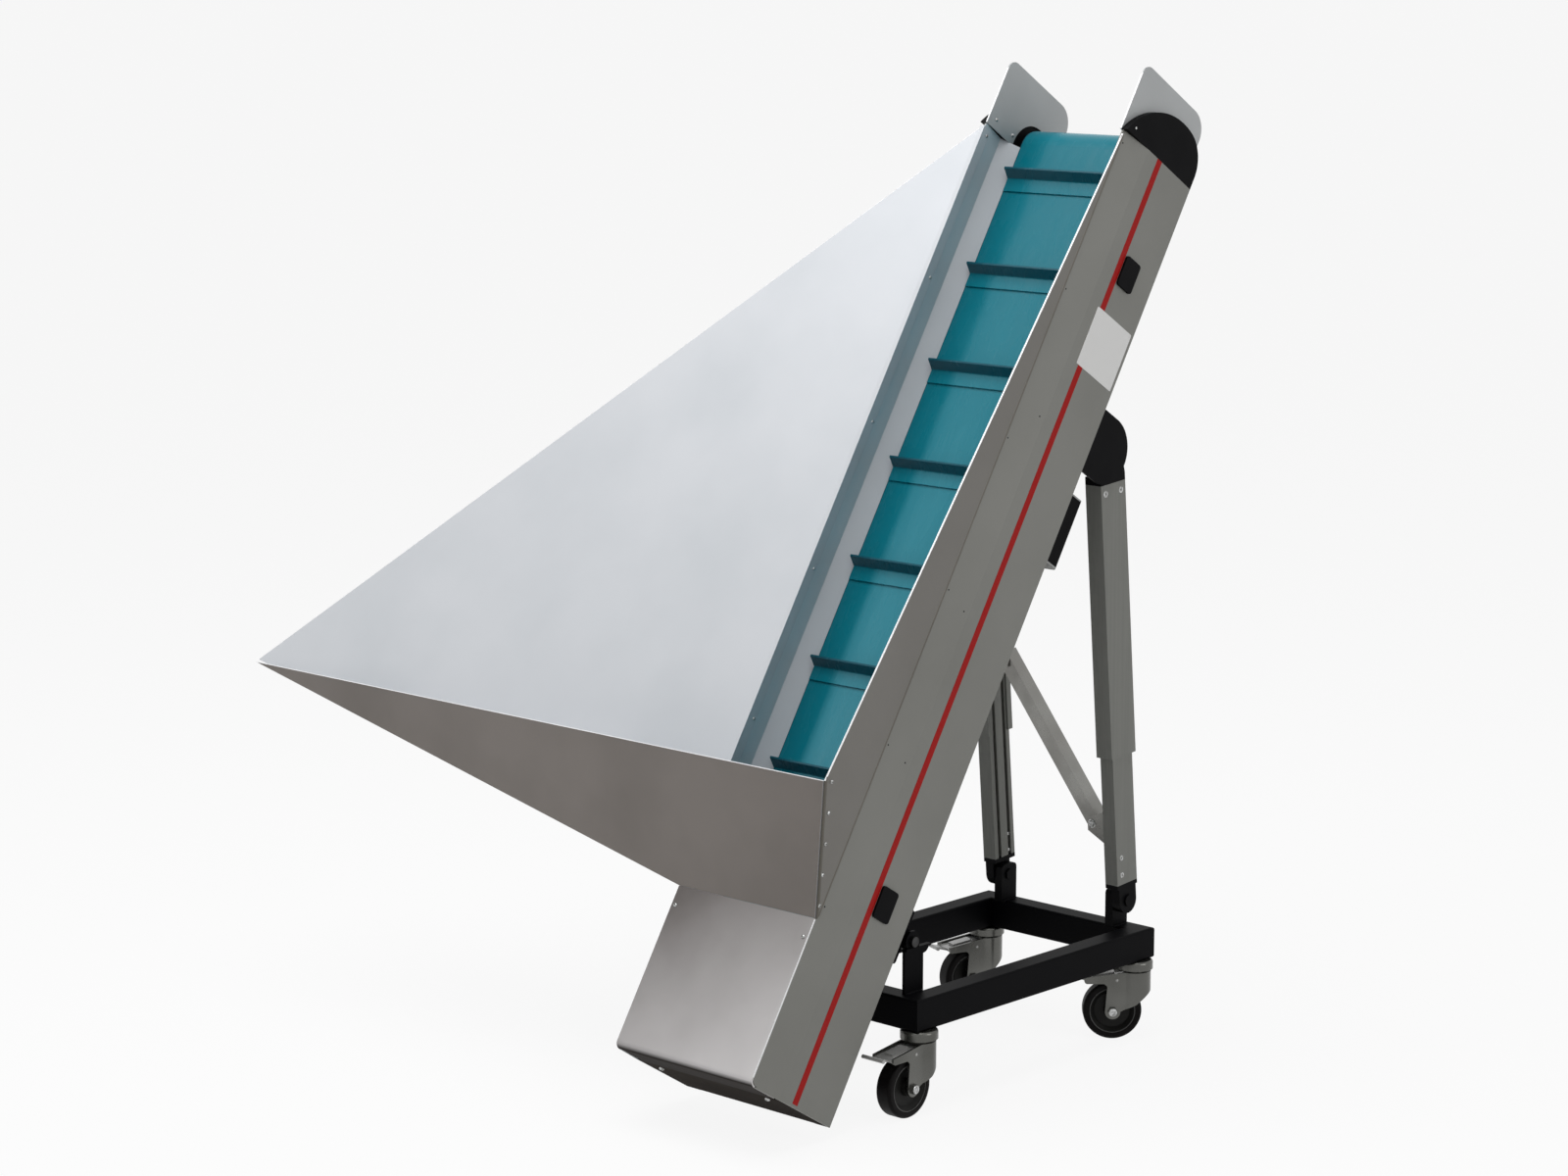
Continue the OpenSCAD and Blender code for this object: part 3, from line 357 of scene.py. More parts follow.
def cover_finish(name, dark, light, under):
    """The cover's brushed sheet with painted light: paler towards its foot and its right edge as a painted
    reflection, darker towards its upper left as painted shade, and dark as painted shade where it faces the
    floor.
    """
    right_reflection_gain, foot_reflection_gain, cloud_gain, under_gain = 0.42, 0.58, 0.06, 0.5
    finish, nodes, links, shader, place = finish_nodes(name, light, metal=0.0, rough=0.4, gloss=0.2)
    across, up, _ = belt_place(nodes, links, place)
    # Painted reflection towards the right edge and the foot, painted shade towards the upper left under the
    # hopper
    right = remap(nodes, links, across, -HALF_FRONT * MM, HALF_FRONT * MM, 0, right_reflection_gain)
    foot = remap(nodes, links, up, 0, COVER_LEN * MM, foot_reflection_gain, 0)
    clouds = remap(nodes, links, noise(nodes, links, place, 9.0, 3.0), 0.3, 0.7, -cloud_gain, cloud_gain)
    share = arithmetic(nodes, links, "ADD", arithmetic(nodes, links, "ADD", right, foot), clouds)
    tone = blend_colours(nodes, links, share, dark, light)
    # Painted shade on the faces that turn to the floor, which are also rougher
    down = side_share(nodes, links, tuple(-UP_BELT), 0.45, 0.9)
    links.new(blend_colours(nodes, links, down, tone, under), shader.inputs["Base Color"])
    grain = noise(nodes, links, place, 700.0, 2.0, (-INCLINE, 0, 0), (0.05, 1, 1))
    duller = arithmetic(nodes, links, "MULTIPLY", down, under_gain)
    rough = arithmetic(nodes, links, "ADD", remap(nodes, links, grain, 0.3, 0.7, 0.34, 0.46), duller)
    links.new(rough, shader.inputs["Roughness"])
    bump(nodes, links, shader, grain, 0.02 * MM, 0.4)
    return finish


def powder_finish(name, colour, rough, gloss):
    """Powder coat: an even dark skin with a fine orange peel and slightly paler dust."""
    finish, nodes, links, shader, place = finish_nodes(name, colour, 0.0, rough, gloss)
    dust = remap(nodes, links, noise(nodes, links, place, 14.0, 5.0), 0.5, 0.8, 0, 0.5)
    paler = tuple(part * 1.8 + 0.001 for part in colour)
    links.new(blend_colours(nodes, links, dust, colour, paler), shader.inputs["Base Color"])
    bump(nodes, links, shader, noise(nodes, links, place, 420.0, 2.0), 0.1 * MM, 0.4)
    return finish


def plastic_finish(name, colour, rough, gloss):
    """Moulded plastic with a fine spark grain and a gloss that wanders a little."""
    finish, nodes, links, shader, place = finish_nodes(name, colour, 0.0, rough, gloss)
    wander = noise(nodes, links, place, 30.0)
    links.new(remap(nodes, links, wander, 0.3, 0.7, rough - 0.06, rough + 0.06), shader.inputs["Roughness"])
    bump(nodes, links, shader, noise(nodes, links, place, 1300.0, 2.0), 0.05 * MM, 0.5)
    return finish


def zinc_finish(name, light, dark, rough=0.28, scale=45.0, metal=0.9):
    """Zinc plate: metal with soft bright and dull clouds and a rolled sheen."""
    finish, nodes, links, shader, place = finish_nodes(name, light, metal, rough)
    clouds = remap(nodes, links, noise(nodes, links, place, scale, 3.0), 0.35, 0.65)
    links.new(blend_colours(nodes, links, clouds, light, dark), shader.inputs["Base Color"])
    sheen = noise(nodes, links, place, 4 * scale)
    links.new(remap(nodes, links, sheen, 0.3, 0.7, rough - 0.07, rough + 0.07), shader.inputs["Roughness"])
    return finish


def profile_finish(name, light, dark):
    """Anodised extrusion: faint lines along the profile and a soft tone."""
    finish, nodes, links, shader, place = finish_nodes(name, light, metal=0.04, rough=0.48, gloss=0.1)
    lines = noise(nodes, links, place, 260.0, 2.0, (-LEG_LEAN, 0, 0), (1, 1, 0.012))
    tone = blend_colours(nodes, links, remap(nodes, links, lines, 0.35, 0.65), light, dark)
    links.new(tone, shader.inputs["Base Color"])
    bump(nodes, links, shader, lines, 0.02 * MM, 0.25)
    return finish


def cleat_share(nodes, links, up, off):
    """One on the belt's cleats: what stands well over the belt's radius from the line between the axes."""
    on_axis = nodes.new("ShaderNodeClamp")
    links.new(up, on_axis.inputs["Value"])
    on_axis.inputs["Min"].default_value = TAIL_UP * MM
    on_axis.inputs["Max"].default_value = HEAD_UP * MM
    span = nodes.new("ShaderNodeCombineXYZ")
    links.new(arithmetic(nodes, links, "SUBTRACT", up, on_axis.outputs[0]), span.inputs[0])
    links.new(arithmetic(nodes, links, "SUBTRACT", off, DRUM_OFF * MM), span.inputs[1])
    length = nodes.new("ShaderNodeVectorMath")
    length.operation = "LENGTH"
    links.new(span.outputs[0], length.inputs[0])
    low, high = (BELT_RADIUS + 3) * MM, (BELT_RADIUS + 4) * MM
    return remap(nodes, links, length.outputs["Value"], low, high)


def belting_finish(name, deep, pale, cleat):
    """Glossy belting: deep teal, a paler band along the run that fades up the belt as a painted reflection,
    darker cleats, edges darkened as painted shade, fine cross ribs.
    """
    band_start, band_end = -64 * MM, -52 * MM
    fade_start, fade_end = -30 * MM, 60 * MM
    pale_up, deep_up = 300 * MM, 1200 * MM
    edge_start, edge_end = 97.2 * MM, 97.8 * MM
    finish, nodes, links, shader, place = finish_nodes(name, deep, metal=0.0, rough=0.24, gloss=0.2)
    across, up, off = belt_place(nodes, links, place)
    # The paler band is a painted reflection of the lamps along the run, fading up the belt and broken into
    # streaks
    band = remap(nodes, links, across, band_start, band_end)
    fade = remap(nodes, links, across, fade_start, fade_end, 1, 0.25)
    lower = remap(nodes, links, up, pale_up, deep_up, 1, 0.05)
    reflection_streaks = noise(nodes, links, place, 22.0, 4.0, (-INCLINE, 0, 0), (1, 0.06, 0.06))
    share = remap(nodes, links, reflection_streaks, 0.3, 0.7, 0.6, 1)
    for part in (band, fade, lower):
        share = arithmetic(nodes, links, "MULTIPLY", share, part)
    tone = blend_colours(nodes, links, share, deep, pale)
    tone = blend_colours(nodes, links, cleat_share(nodes, links, up, off), tone, cleat)
    # Painted shade of the gap along the belt's edges, in the cleats' tone
    from_middle = arithmetic(nodes, links, "ABSOLUTE", across, 0.0)
    edge = remap(nodes, links, from_middle, edge_start, edge_end)
    links.new(blend_colours(nodes, links, edge, tone, cleat), shader.inputs["Base Color"])
    scuffs = noise(nodes, links, place, 70.0, 6.0, (-INCLINE, 0, 0), (1, 0.25, 0.25))
    links.new(remap(nodes, links, scuffs, 0.35, 0.7, 0.18, 0.36), shader.inputs["Roughness"])
    ribs = noise(nodes, links, place, 520.0, 1.0, (-INCLINE, 0, 0), (0.06, 1, 1))
    bump(nodes, links, shader, ribs, 0.05 * MM, 0.35)
    return finish


def tread_finish(name, colour, clean, dusty):
    """Dark solid rubber, a little dusty."""
    finish, nodes, links, shader, place = finish_nodes(name, colour, metal=0.0, rough=0.5, gloss=0.08)
    dust = remap(nodes, links, noise(nodes, links, place, 90.0, 5.0), 0.5, 0.8)
    links.new(blend_colours(nodes, links, dust, clean, dusty), shader.inputs["Base Color"])
    bump(nodes, links, shader, noise(nodes, links, place, 900.0, 2.0), 0.06 * MM, 0.5)
    return finish


# Light and dark tones of the sheets' sides. The wall and satin tones are the sheets' own; the panel's and the
# right sheet's outer tones are painted shade, the left wall's inner tones a painted reflection
WALL_TONES = (0.205, 0.205, 0.188), (0.178, 0.178, 0.162)
WALL_INNER_REFLECTION_TONES = (0.68, 0.73, 0.76), (0.63, 0.68, 0.71)
SATIN_TONES = (0.62, 0.64, 0.67), (0.57, 0.595, 0.625)
PANEL_SHADE_TONES = (0.21, 0.187, 0.170), (0.165, 0.146, 0.131)
RIGHT_SHADE_TONES = (0.168, 0.160, 0.145), (0.148, 0.140, 0.126)

# The finish of each material slot
FINISHES = {
    "black_paint": powder_finish("powder_black", (0.0015, 0.0015, 0.002), rough=0.5, gloss=0.04),
    "zinc_plate": zinc_finish("bright_zinc", (0.30, 0.31, 0.31), (0.20, 0.20, 0.19)),
    "black_plastic": plastic_finish("moulded_black", (0.002, 0.002, 0.0025), rough=0.5, gloss=0.05),
    "grey_paint": sheet_finish("wall_sheet", *WALL_TONES, metal=0.15, rough=0.45),
    # The cover's dark tone is painted shade, its light tone a painted reflection, its under tone painted
    # shade
    "cover_paint": cover_finish("cover_sheet", dark=(0.15, 0.135, 0.128), light=(0.72, 0.70, 0.70),
                                under=(0.020, 0.016, 0.014)),
    "satin_steel": sheet_finish("hopper_sheet", *SATIN_TONES, metal=0.15, rough=0.48),
    "anodised": profile_finish("leg_profile", (0.232, 0.235, 0.218), (0.215, 0.218, 0.203)),
    # The belting's pale tone is a painted reflection
    "belt_surface": belting_finish("teal_belting", deep=(0.0, 0.165, 0.22), pale=(0.07, 0.32, 0.40),
                                   cleat=(0.006, 0.085, 0.12)),
    "wheel_tread": tread_finish("wheel_rubber", (0.004, 0.003, 0.003), clean=(0.002, 0.0015, 0.0015),
                                dusty=(0.007, 0.006, 0.0055)),
    "wheel_disc": plastic_finish("wheel_disc_dark", (0.010, 0.010, 0.009), rough=0.45, gloss=0.12),
}

# Finishes of solids that differ from their slot's, and of the small hardware and trim
TO_FRONT = (0, -1, 0)
TO_RIGHT = (1, 0, 0)
# The front panel's and the right sheet's outer sides take painted shade, the left wall's inner side a painted
# reflection
PANEL_SHEET = sheet_finish("panel_sheet", *SATIN_TONES, 0.15, 0.42, other=PANEL_SHADE_TONES, way=TO_FRONT)
RIGHT_SHEET = sheet_finish("right_sheet", *SATIN_TONES, 0.15, 0.45, other=RIGHT_SHADE_TONES, way=TO_RIGHT)
LEFT_WALL = sheet_finish("left_wall_sheet", *WALL_TONES, 0.15, 0.45, other=WALL_INNER_REFLECTION_TONES, way=TO_RIGHT)
GUIDE_SHEET = sheet_finish("guide_sheet", (0.44, 0.455, 0.46), (0.40, 0.415, 0.42), 0.15, 0.42)
# Painted shade: the foot plate under the cover made dark as if in shadow
FOOT_SHADE_SHEET = sheet_finish("foot_shade_sheet", (0.040, 0.033, 0.028), (0.022, 0.018, 0.015), 0.0, 0.8, gloss=0.02)
# Painted shade: the dark tone of the fold and of the shadow line where the right sheet meets its wall
SEAM_SHADE_SHEET = sheet_finish("seam_shade_sheet", (0.115, 0.105, 0.085), (0.085, 0.078, 0.062), 0.2, 0.42)
# Painted highlight: near-white strips along the sheets' cut edges
CUT_EDGE_HIGHLIGHT = sheet_finish("cut_edge_highlight", (0.97, 0.97, 0.98), (0.90, 0.91, 0.92), 0.1, 0.35, cloud=40.0)
FORK_ZINC = zinc_finish("fork_zinc", (0.16, 0.16, 0.15), (0.085, 0.085, 0.078), 0.26, 7.0)
PEDAL_ZINC = zinc_finish("pedal_zinc", (0.46, 0.46, 0.45), (0.34, 0.34, 0.33), 0.25, 10.0, metal=0.3)
BRACE_ZINC = zinc_finish("brace_zinc", (0.27, 0.27, 0.255), (0.215, 0.21, 0.197), 0.30, 9.0)
DARK_BOLT = zinc_finish("dark_bolt", (0.05, 0.05, 0.05), (0.02, 0.02, 0.02), 0.35, 60.0)
SCREW_ZINC = zinc_finish("screw_zinc", (0.55, 0.56, 0.56), (0.22, 0.22, 0.21), 0.24, 300.0)
STRIPE_FILM = plastic_finish("stripe_film", (0.36, 0.006, 0.005), rough=0.4, gloss=0.12)
PLATE_FILM = plastic_finish("blank_plate", (0.78, 0.78, 0.77), rough=0.4, gloss=0.4)
RIM_GREY = plastic_finish("rim_ring_grey", (0.06, 0.06, 0.058), rough=0.35, gloss=0.4)
SOCKET_BLACK = plastic_finish("socket_black", (0.006, 0.006, 0.006), rough=0.6, gloss=0.2)


def dress_frame():
    """Every solid of the frame takes the finish of its slot, or its own where it differs."""
    # The panel, the right sheet and the left wall carry painted light on one side, the foot plate painted
    # shade
    own = {"hopper_front": PANEL_SHEET, "hopper_right": RIGHT_SHEET, "side_wall_left": LEFT_WALL,
           "foot_plate": FOOT_SHADE_SHEET, "leg_brace": BRACE_ZINC, "pivot_bolts": DARK_BOLT,
           "guide_plates": GUIDE_SHEET}
    own.update({"fork_" + corner: FORK_ZINC for corner in HEADINGS})
    own.update({"pedal_" + corner: PEDAL_ZINC for corner in HEADINGS})
    slots = {row["node"]: row["material_slot"] for row in frame["record"]["subparts"]}
    for name, solid in frame["nodes"].items():
        solid.data.materials.clear()
        solid.data.materials.append(own.get(name, FINISHES[slots[name]]))


# Screws, bolts and rivets, each about Z with its seat at nought

def button_screw(radius, height):
    """A button head: point = (r cos a, h sin a / sin b) up to a = b, its flat top, with a sunk socket."""
    arc = np.linspace(0, math.pi / 2.6, 5)
    sunk, socket, socket_foot, socket_level = -0.3 * height, 0.42 * radius, 0.36 * radius, 0.4 * height
    radii = [radius, *(radius * np.cos(arc)), socket, socket_foot]
    return turned(radii, [sunk, *(height * np.sin(arc) / math.sin(arc[-1])), height, socket_level])


def flush_screw(radius):
    """A countersunk head: a thin bright rim, a flat and a sunk socket."""
    rim = 0.35
    return turned([radius, radius, 0.9 * radius, 0.36 * radius, 0.30 * radius],
                  [-rim, 0.3 * rim, 0.7 * rim, 0.5 * rim, -1.5 * rim])


def hex_bolt(radius, height):
    """A hexagon head over a round washer, with a chamfered top."""
    washer = turned([1.35 * radius, 1.35 * radius, 1.25 * radius],
                    [-0.2 * height, 0.16 * height, 0.22 * height])
    head = turned([radius, radius, 0.8 * radius], [0.1 * height, 0.85 * height, height], 6)
    return joined([washer, head])


def rivet(radius, height):
    """A low dome: point = (r cos a, h sin a)."""
    arc = np.linspace(0, 0.45 * math.pi, 5)
    return turned([radius, *(radius * np.cos(arc))], [-0.3 * height, *(height * np.sin(arc))])


def axle_end(radius, height):
    """The round end of an axle bolt: a chamfered rim with a shallow dish in its middle."""
    chamfer, dish_rim, dish_foot = radius - 1.0, 0.5 * radius, 0.5 * radius - 0.2
    return turned([radius, radius, chamfer, dish_rim, dish_foot],
                  [-height, 0.5 * height, height, height, 0.3 * height])


def set_down(shape, places, normals, turn, carry):
    """A shape at each place, along its own normal or one for all, in coordinates with a turn of their own."""
    normals = np.broadcast_to(np.asarray(normals, float), np.shape(places))
    return copies(shape, facing(normals @ turn), carry(places))


def belt_hardware(name, shape, places, normals, finish=SCREW_ZINC):
    """Hardware on the conveyor, at places and along normals in belt coordinates."""
    piece(name, set_down(shape, places, normals, BELT_TURN, on_belt), "conveyor", finish)


def leg_hardware(name, shape, places, normals, body):
    """Hardware on both legs, at places in leg coordinates, mirrored for the left leg."""
    right = set_down(shape, places, normals, LEG_TURN, on_leg)
    piece(name, both_sides(right), body, SCREW_ZINC)


# Films and edges on the conveyor

def side_stripes():
    """A thin red film along each wall, carried straight up the belt on its outside."""
    start, off, half, thick = 4, 74.7, 5, 0.25
    tape = [(-half, 0), (half, 0), (half - thick / 2, thick), (thick / 2 - half, thick)]
    path = on_belt(np.linspace((HALF_WIDTH, start, off), (HALF_WIDTH, CONVEYOR_LEN, off), 12))
    right = sweep(tape, path, OFF_BELT, ACROSS)
    piece("stripe_right", right, "conveyor", STRIPE_FILM)
    piece("stripe_left", mirrored(right), "conveyor", STRIPE_FILM)


def blank_plate():
    """A square blank plate with round corners on the right wall: its ring shrinks to the middle.

    With c on a unit circle, the ring is sign(c) (half - corner) + corner c.
    """
    half, corner, thick, sides = 39.5, 1.5, 0.8, 32
    centre = on_belt((HALF_WIDTH, 1019.5, 44.8))
    turn = (np.arange(sides) + 0.5) * 2 * math.pi / sides
    circle = np.stack([np.cos(turn), np.sin(turn)], -1)
    ring = np.sign(circle) * (half - corner) + corner * circle
    # Share of the ring's size, and height over the wall
    levels = [(1.0, 0.0), (1.0, 0.7 * thick), (0.992, thick), (0.5, thick)]
    rings = [centre + scale * ring @ BELT_TURN[1:] + height * ACROSS for scale, height in levels]
    piece("blank_plate", closed_rings(rings), "conveyor", PLATE_FILM)


def edge_strip(start, end, thick, out, proud=0.3, over=0.1):
    """The cut edge of a sheet, bright as a painted highlight: a flat band as wide as the sheet, from start to
    end of the edge.

    The band's outline spans the sheet's thickness plus a little, and stands proud along out.
    """
    width = np.linalg.norm(thick)
    side = thick / width
    outline = [(-over, -proud), (width + over, -proud), (width + over, proud / 2), (width, proud),
               (0, proud), (-over, proud / 2)]
    return sweep(outline, on_belt(np.linspace(start, end, 6)), side @ BELT_TURN, out @ BELT_TURN)


def sheet_edge(start, end, third):
    """A strip along the edge from start to end of the sheet through three corners, thick as the sheet is."""
    turn = np.cross(end - start, third - start)
    thick = turn / np.linalg.norm(turn) * SHEET
    out = np.cross(end - start, turn)
    return edge_strip(start, end, thick, out / np.linalg.norm(out))


def cut_edges():
    """The edges of the hopper's three sheets, of the guide plates and of the foot cover, near white as
    painted highlights.
    """
    across, off = np.array([1.0, 0, 0]), np.array([0, 0, 1.0])
    front = sheet_edge(RIM_RIGHT, RIM_LEFT, LOW_RIGHT)
    right = sheet_edge(TIP_RIGHT, RIM_RIGHT, LOW_RIGHT)
    left = sheet_edge(RIM_LEFT + RIM_STEP, TIP_LEFT, LOW_LEFT + RIM_STEP)
    piece("hopper_edges", joined([front, right, left]), "conveyor", CUT_EDGE_HIGHLIGHT)
    guide_across, guide_start, guide_end, guide_off = 107.5, 1271, 1350, 154
    guide = edge_strip((guide_across, guide_start, guide_off), (guide_across, guide_end, guide_off),
                       across * SHEET, off)
    piece("guide_edges", both_sides(guide), "conveyor", CUT_EDGE_HIGHLIGHT)
    cover_start, cover_end = 10, COVER_LEN - 1
    cover = edge_strip((HALF_FRONT, cover_start, WALL_TOP), (HALF_FRONT, cover_end, WALL_TOP),
                       off * SHEET, across, proud=0.2)
    piece("cover_edges", both_sides(cover), "conveyor", CUT_EDGE_HIGHLIGHT)


def hopper_fold():
    """The front sheet's edge folded round onto the right sheet, carried down the seam.

    The outline is a flat band with a round front corner: (front + thick (0.8 - sin a), 0.6 thick cos a).
    """
    width, thick, front, gap, bevel, root = 5.5, 1.2, -0.8, 0.02, 0.4, -1.5
    face = np.cross(LOW_RIGHT - RIM_RIGHT, TIP_RIGHT - RIM_RIGHT)
    face = face / np.linalg.norm(face)
    lift = face * (SHEET + gap)
    arc = np.linspace(0, math.pi / 2, 5)
    band = [(width, -0.3), (width, 0.4 * thick), (width - bevel, 0.6 * thick)]
    corner = np.stack([front + thick * (0.8 - np.sin(arc)), 0.6 * thick * np.cos(arc)], -1)
    outline = np.concatenate([band, corner, [(front - 0.2 * thick, root)]])
    path = on_belt(np.linspace(RIM_RIGHT + lift, LOW_RIGHT + lift, 6))
    # Its dark tone is painted shade in the seam
    piece("hopper_fold", sweep(outline, path, UP_BELT, face @ BELT_TURN), "conveyor", SEAM_SHADE_SHEET)


def hopper_seam_shadow():
    """A painted shadow where the right sheet meets its wall: a dark shallow arc, (half sin a, rise cos a),
    carried up.
    """
    half, rise, across, off, start, end = 2.2, 1.2, 113.1, 151.2, 214, 1262
    arc = np.linspace(0.5 * math.pi, -0.5 * math.pi, 9)
    outline = np.stack([half * np.sin(arc), rise * np.cos(arc)], -1)
    path = on_belt(np.linspace((across, start, off), (across, end, off), 12))
    piece("hopper_seam_shadow", sweep(outline, path, OFF_BELT, ACROSS), "conveyor", SEAM_SHADE_SHEET)


# Screws on the conveyor

def hopper_screws():
    """Screws down the fold and along the left flange, and dark pins on the right wall."""
    fold_top, fold_foot, fold_normal = (122.9, 357.5, 226.1), (114.9, 225, 157.6), (1, 0, -0.117)
    belt_hardware("fold_screws", button_screw(2.7, 1.7), np.linspace(fold_top, fold_foot, 5), fold_normal)
    ups = np.linspace(437, 1255, 5)
    flange_across, flange_off, leaning = -108.4, 144, (1, 0, 0.14)
    flange = [(flange_across, up, flange_off) for up in ups]
    belt_hardware("flange_screws", button_screw(2.2, 1.2), flange, leaning)
    strip_across, strip_off, wall_across, wall_off = 112.9, 145.3, 117.8, 110.5
    pins = [(strip_across, up, strip_off) for up in ups] + [(strip_across, 228, 146)]
    pins += [(wall_across, up, wall_off) for up in (429, 629, 893)]
    belt_hardware("wall_pins", rivet(1.1, 0.4), pins, leaning, SOCKET_BLACK)


def head_screws():
    """Screws of the guide plates, which face the belt, and of the end caps, which face outwards."""
    guide_across, guide_places = 107.5, ((1282, 139), (1281, 100))
    guide = [(side * guide_across, up, off) for side in (-1, 1) for up, off in guide_places]
    inward = [(-side, 0, 0) for side in (-1, -1, 1, 1)]
    belt_hardware("guide_screws", button_screw(2.6, 1.4), guide, inward)
    cap_up, cap_off = 1280, 139
    caps = [(side * HALF_WIDTH, cap_up, cap_off) for side in (-1, 1)]
    belt_hardware("cap_screws", button_screw(1.8, 0.9), caps, [(-1, 0, 0), (1, 0, 0)])


def foot_screws():
    """Two screws at the cover's upper end and two on the foot's end face."""
    cover_across, cover_up = 105.5, 185.5
    cover = [(side * cover_across, cover_up, WALL_TOP + SHEET) for side in (-1, 1)]
    belt_hardware("cover_screws", button_screw(3.0, 1.8), cover, (0, 0, 1))
    foot_across, foot_off = 88, 88
    foot = [(side * foot_across, 0, foot_off) for side in (-1, 1)]
    belt_hardware("foot_screws", button_screw(3.4, 2.6), foot, (0, -1, 0))


def rear_screws():
    """Rows of screws along the rear flanges, and four on the control box's tabs."""
    flange_across, flange_ups = 107, (60, 230, 400, 570, 740, 1090, 1230)
    rows = [(side * flange_across, up, 0) for side in (-1, 1) for up in flange_ups]
    belt_hardware("rear_screws", button_screw(2.6, 1.4), rows, (0, 0, -1))
    tabs = [(across, up, -SHEET) for across in (60, 96) for up in (745.5, 850.5)]
    belt_hardware("box_screws", button_screw(2.2, 1.2), tabs, (0, 0, -1))


# Pieces on the legs and the carriage

def leg_screws():
    """Flush screws on the outer faces, bolts in the inner slot and the brace's two bolts."""
    channel_face, channel_half, channel_up = 12.5, 15.5, 541
    channel = [(channel_face, -channel_half, channel_up), (channel_face, channel_half, channel_up)]
    leg_hardware("channel_screws", flush_screw(4.2), channel, (1, 0, 0), "leg_upper")
    profile_face, profile_y = 10, -10
    profile = [(profile_face, profile_y, up) for up in (37, 60)]
    leg_hardware("profile_screws", flush_screw(3.4), profile, (1, 0, 0), "leg_lower")
    slot_face, slot_y = -6.2, 10
    slot = [(slot_face, slot_y, up) for up in (30, 52)]
    leg_hardware("slot_bolts", hex_bolt(2.6, 2.2), slot, (-1, 0, 0), "leg_lower")
    brace_x, brace_y = 68.5, -13
    brace = [(side * brace_x - LEG_PIN[0], brace_y, up) for side, up in ((1, 100), (-1, 298.05))]
    bolts = set_down(hex_bolt(4.4, 3.4), brace, (0, -1, 0), LEG_TURN, on_leg)
    piece("brace_bolts", bolts, "leg_lower", SCREW_ZINC)


def weld_bead(start, end, radius=2.0, ripple=2.6):
    """A weld bead: a round outline carried along a straight line, with a radius that changes on the way.

    With s the share of the way, the radius is r (1 + swell sin(2 pi s length / ripple)), times the root
    of 1 - |2 s - 1| to the twelfth, which closes it at both ends.
    """
    swell, steps, sides, least = 0.14, 5, 10, 0.02
    start, end = np.asarray(start, float), np.asarray(end, float)
    length = np.linalg.norm(end - start)
    share = np.linspace(0, 1, int(length / ripple * steps))
    wave = 1 + swell * np.sin(share * length / ripple * 2 * math.pi)
    taper = np.sqrt(np.clip(1 - np.abs(2 * share - 1) ** 12, least, 1))
    along = (end - start) / length
    side = np.cross(along, [0, 0, 1.0])
    turn = np.arange(sides) * 2 * math.pi / sides
    ring = np.cos(turn)[:, None] * side + np.sin(turn)[:, None] * np.cross(side, along)
    rings = start + share[:, None, None] * (end - start) + (radius * wave * taper)[:, None, None] * ring
    return closed_rings(rings[:, ::-1])


def carriage_welds():
    """Beads at the feet of the front posts and of the leg brackets, on the tubes' top."""
    # Start and end of each bead on the right, as (x, y)
    posts = [((110, -221), (110, -189)), ((106, -221), (106, -204))]
    brackets = [((99.4, 198), (99.4, 226)), ((86.9, 198), (86.9, 226)), ((87.5, 227), (98.8, 227))]
    beads = [weld_bead((*start, TUBE_TOP), (*end, TUBE_TOP)) for start, end in posts + brackets]
    piece("weld_beads", both_sides(joined(beads)), "carriage", FINISHES["black_paint"])


# Pieces on the casters

def caster_pair(shape, place, corner):
    """A shape on both sides of a caster: at a place in caster coordinates and at its mirror image in Y."""
    turn = turn_about_z(math.radians(HEADINGS[corner]))
    places = np.array(place) * [(1, -1, 1), (1, 1, 1)]
    return set_down(shape, places, [(0, -1, 0), (0, 1, 0)], turn, lambda points: at_caster(points, corner))


def caster_details():
    """For each caster: rivets and small marks on the fork's arms, axle ends and rim rings."""
    bolt_out, rim_out = FORK_SIDE + 4, 10.6
    for corner in HEADINGS:
        rivets = caster_pair(rivet(1.9, 0.7), (24, FORK_SIDE, 80), corner)
        marks = caster_pair(rivet(1.2, 0.25), (6, FORK_SIDE, 66), corner)
        piece("fork_rivets_" + corner, joined([rivets, marks]), "swivel_" + corner, PEDAL_ZINC)
        bolts = caster_pair(axle_end(5.2, 1.0), (AXLE_X, bolt_out, AXLE_Z), corner)
        piece("axle_ends_" + corner, bolts, "swivel_" + corner, SCREW_ZINC)
        rims = caster_pair(round_ring(29.1, 0.7), (AXLE_X, rim_out, AXLE_Z), corner)
        piece("rim_rings_" + corner, rims, "wheel_" + corner, RIM_GREY)


dress_frame()
side_stripes()
blank_plate()
cut_edges()
hopper_fold()
hopper_seam_shadow()
hopper_screws()
head_screws()
foot_screws()
rear_screws()
leg_screws()
carriage_welds()
caster_details()


# Stage

def ray_share(nodes, links):
    """One where the camera, a glossy reflection or a clear body looks, and nought elsewhere."""
    path = nodes.new("ShaderNodeLightPath")
    seen = path.outputs["Is Camera Ray"]
    for ray in ("Is Glossy Ray", "Is Transmission Ray"):
        seen = arithmetic(nodes, links, "MAXIMUM", seen, path.outputs[ray])
    return seen


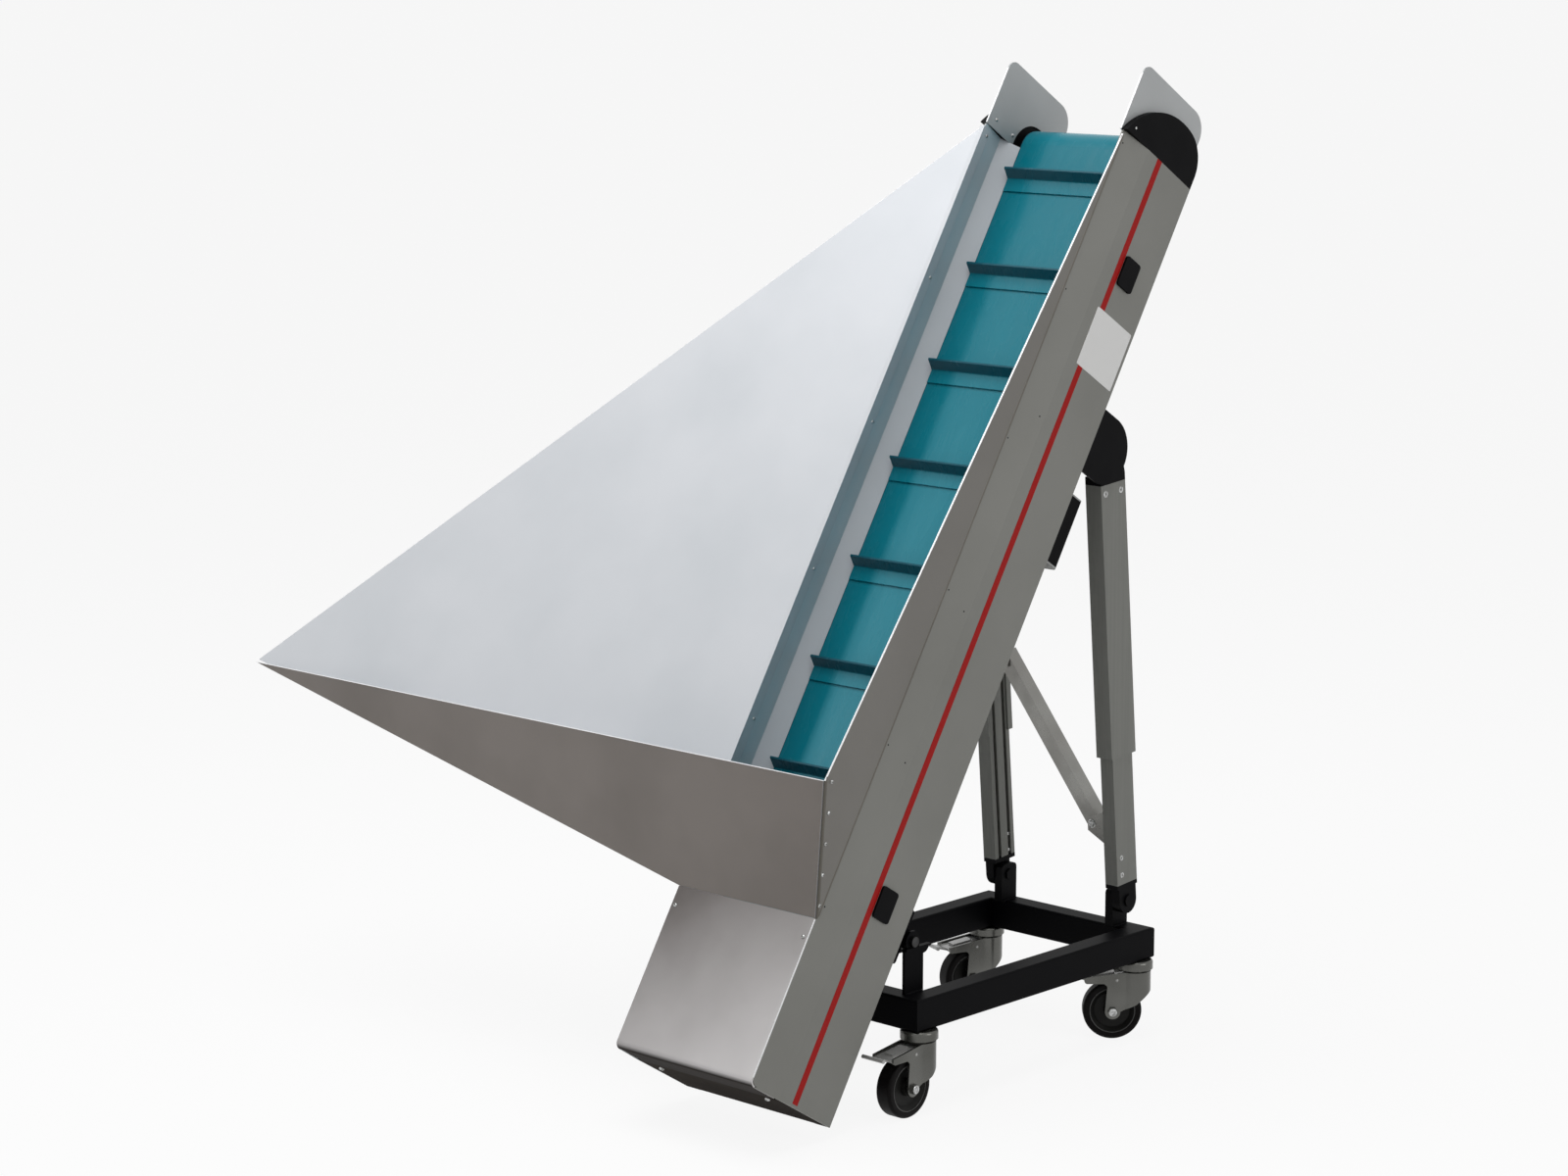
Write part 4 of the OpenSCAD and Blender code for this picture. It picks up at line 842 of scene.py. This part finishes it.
def stage_floor(span, white_share):
    """A wide pale floor: mostly white where it is looked at, with enough of its own shading for a shadow."""
    corners = [(-span, -span, 0), (span, -span, 0), (span, span, 0), (-span, span, 0)]
    mesh = bpy.data.meshes.new("studio_floor")
    mesh.from_pydata(corners, [], [(0, 1, 2, 3)])
    floor = bpy.data.objects.new("studio_floor", mesh)
    bpy.context.scene.collection.objects.link(floor)
    finish = bpy.data.materials.new("pale_floor")
    finish.use_nodes = True
    nodes, links = finish.node_tree.nodes, finish.node_tree.links
    shader = nodes["Principled BSDF"]
    shader.inputs["Base Color"].default_value = (0.85, 0.85, 0.85, 1)
    shader.inputs["Roughness"].default_value = 0.9
    shader.inputs["Specular IOR Level"].default_value = 0.1
    share = remap(nodes, links, ray_share(nodes, links), 0, 1, 0, white_share)
    glow = nodes.new("ShaderNodeEmission")
    mix = nodes.new("ShaderNodeMixShader")
    links.new(share, mix.inputs["Fac"])
    links.new(shader.outputs[0], mix.inputs[1])
    links.new(glow.outputs[0], mix.inputs[2])
    links.new(mix.outputs[0], nodes["Material Output"].inputs["Surface"])
    mesh.materials.append(finish)


def studio_world(level):
    """A white surround for the camera and for gloss, and a plain level of light from all sides."""
    world = bpy.data.worlds.new("studio")
    bpy.context.scene.world = world
    world.use_nodes = True
    nodes, links = world.node_tree.nodes, world.node_tree.links
    ground = nodes["Background"]
    strength = remap(nodes, links, ray_share(nodes, links), 0, 1, level, 1)
    links.new(strength, ground.inputs["Strength"])
    ground.inputs["Color"].default_value = (1, 1, 1, 1)


def soft_light(name, place, target, size, power):
    """A square soft light at a place, turned to a target."""
    lamp = bpy.data.lights.new(name, "AREA")
    lamp.shape = "SQUARE"
    lamp.size = size
    lamp.energy = power
    holder = bpy.data.objects.new(name, lamp)
    bpy.context.scene.collection.objects.link(holder)
    holder.location = place
    aim = Vector(target) - Vector(place)
    holder.rotation_euler = aim.to_track_quat("-Z", "Y").to_euler()


def photo_camera():
    """The camera of the photograph, found from the object's parallel edges."""
    lens = bpy.data.cameras.new("photo_camera")
    lens.lens = 87.08
    lens.sensor_width = 36.0
    lens.clip_end = 600.0
    camera = bpy.data.objects.new("photo_camera", lens)
    bpy.context.scene.collection.objects.link(camera)
    camera.location = (3.0354, -3.5621, 1.4407)
    camera.rotation_euler = (math.radians(79.85), 0, math.radians(43.10))
    bpy.context.scene.camera = camera


stage_floor(span=400.0, white_share=0.90)
studio_world(level=0.24)
soft_light("overhead", place=(-0.3, -0.7, 3.2), target=(0, 0, 0.5), size=2.4, power=66)
soft_light("front_left", place=(-2.4, -2.8, 1.9), target=(0, 0, 0.6), size=1.6, power=9)
soft_light("right_side", place=(4.0, 0.7, 1.7), target=(0, 0, 0.7), size=1.8, power=38)
photo_camera()
bpy.context.scene.view_settings.view_transform = "Standard"
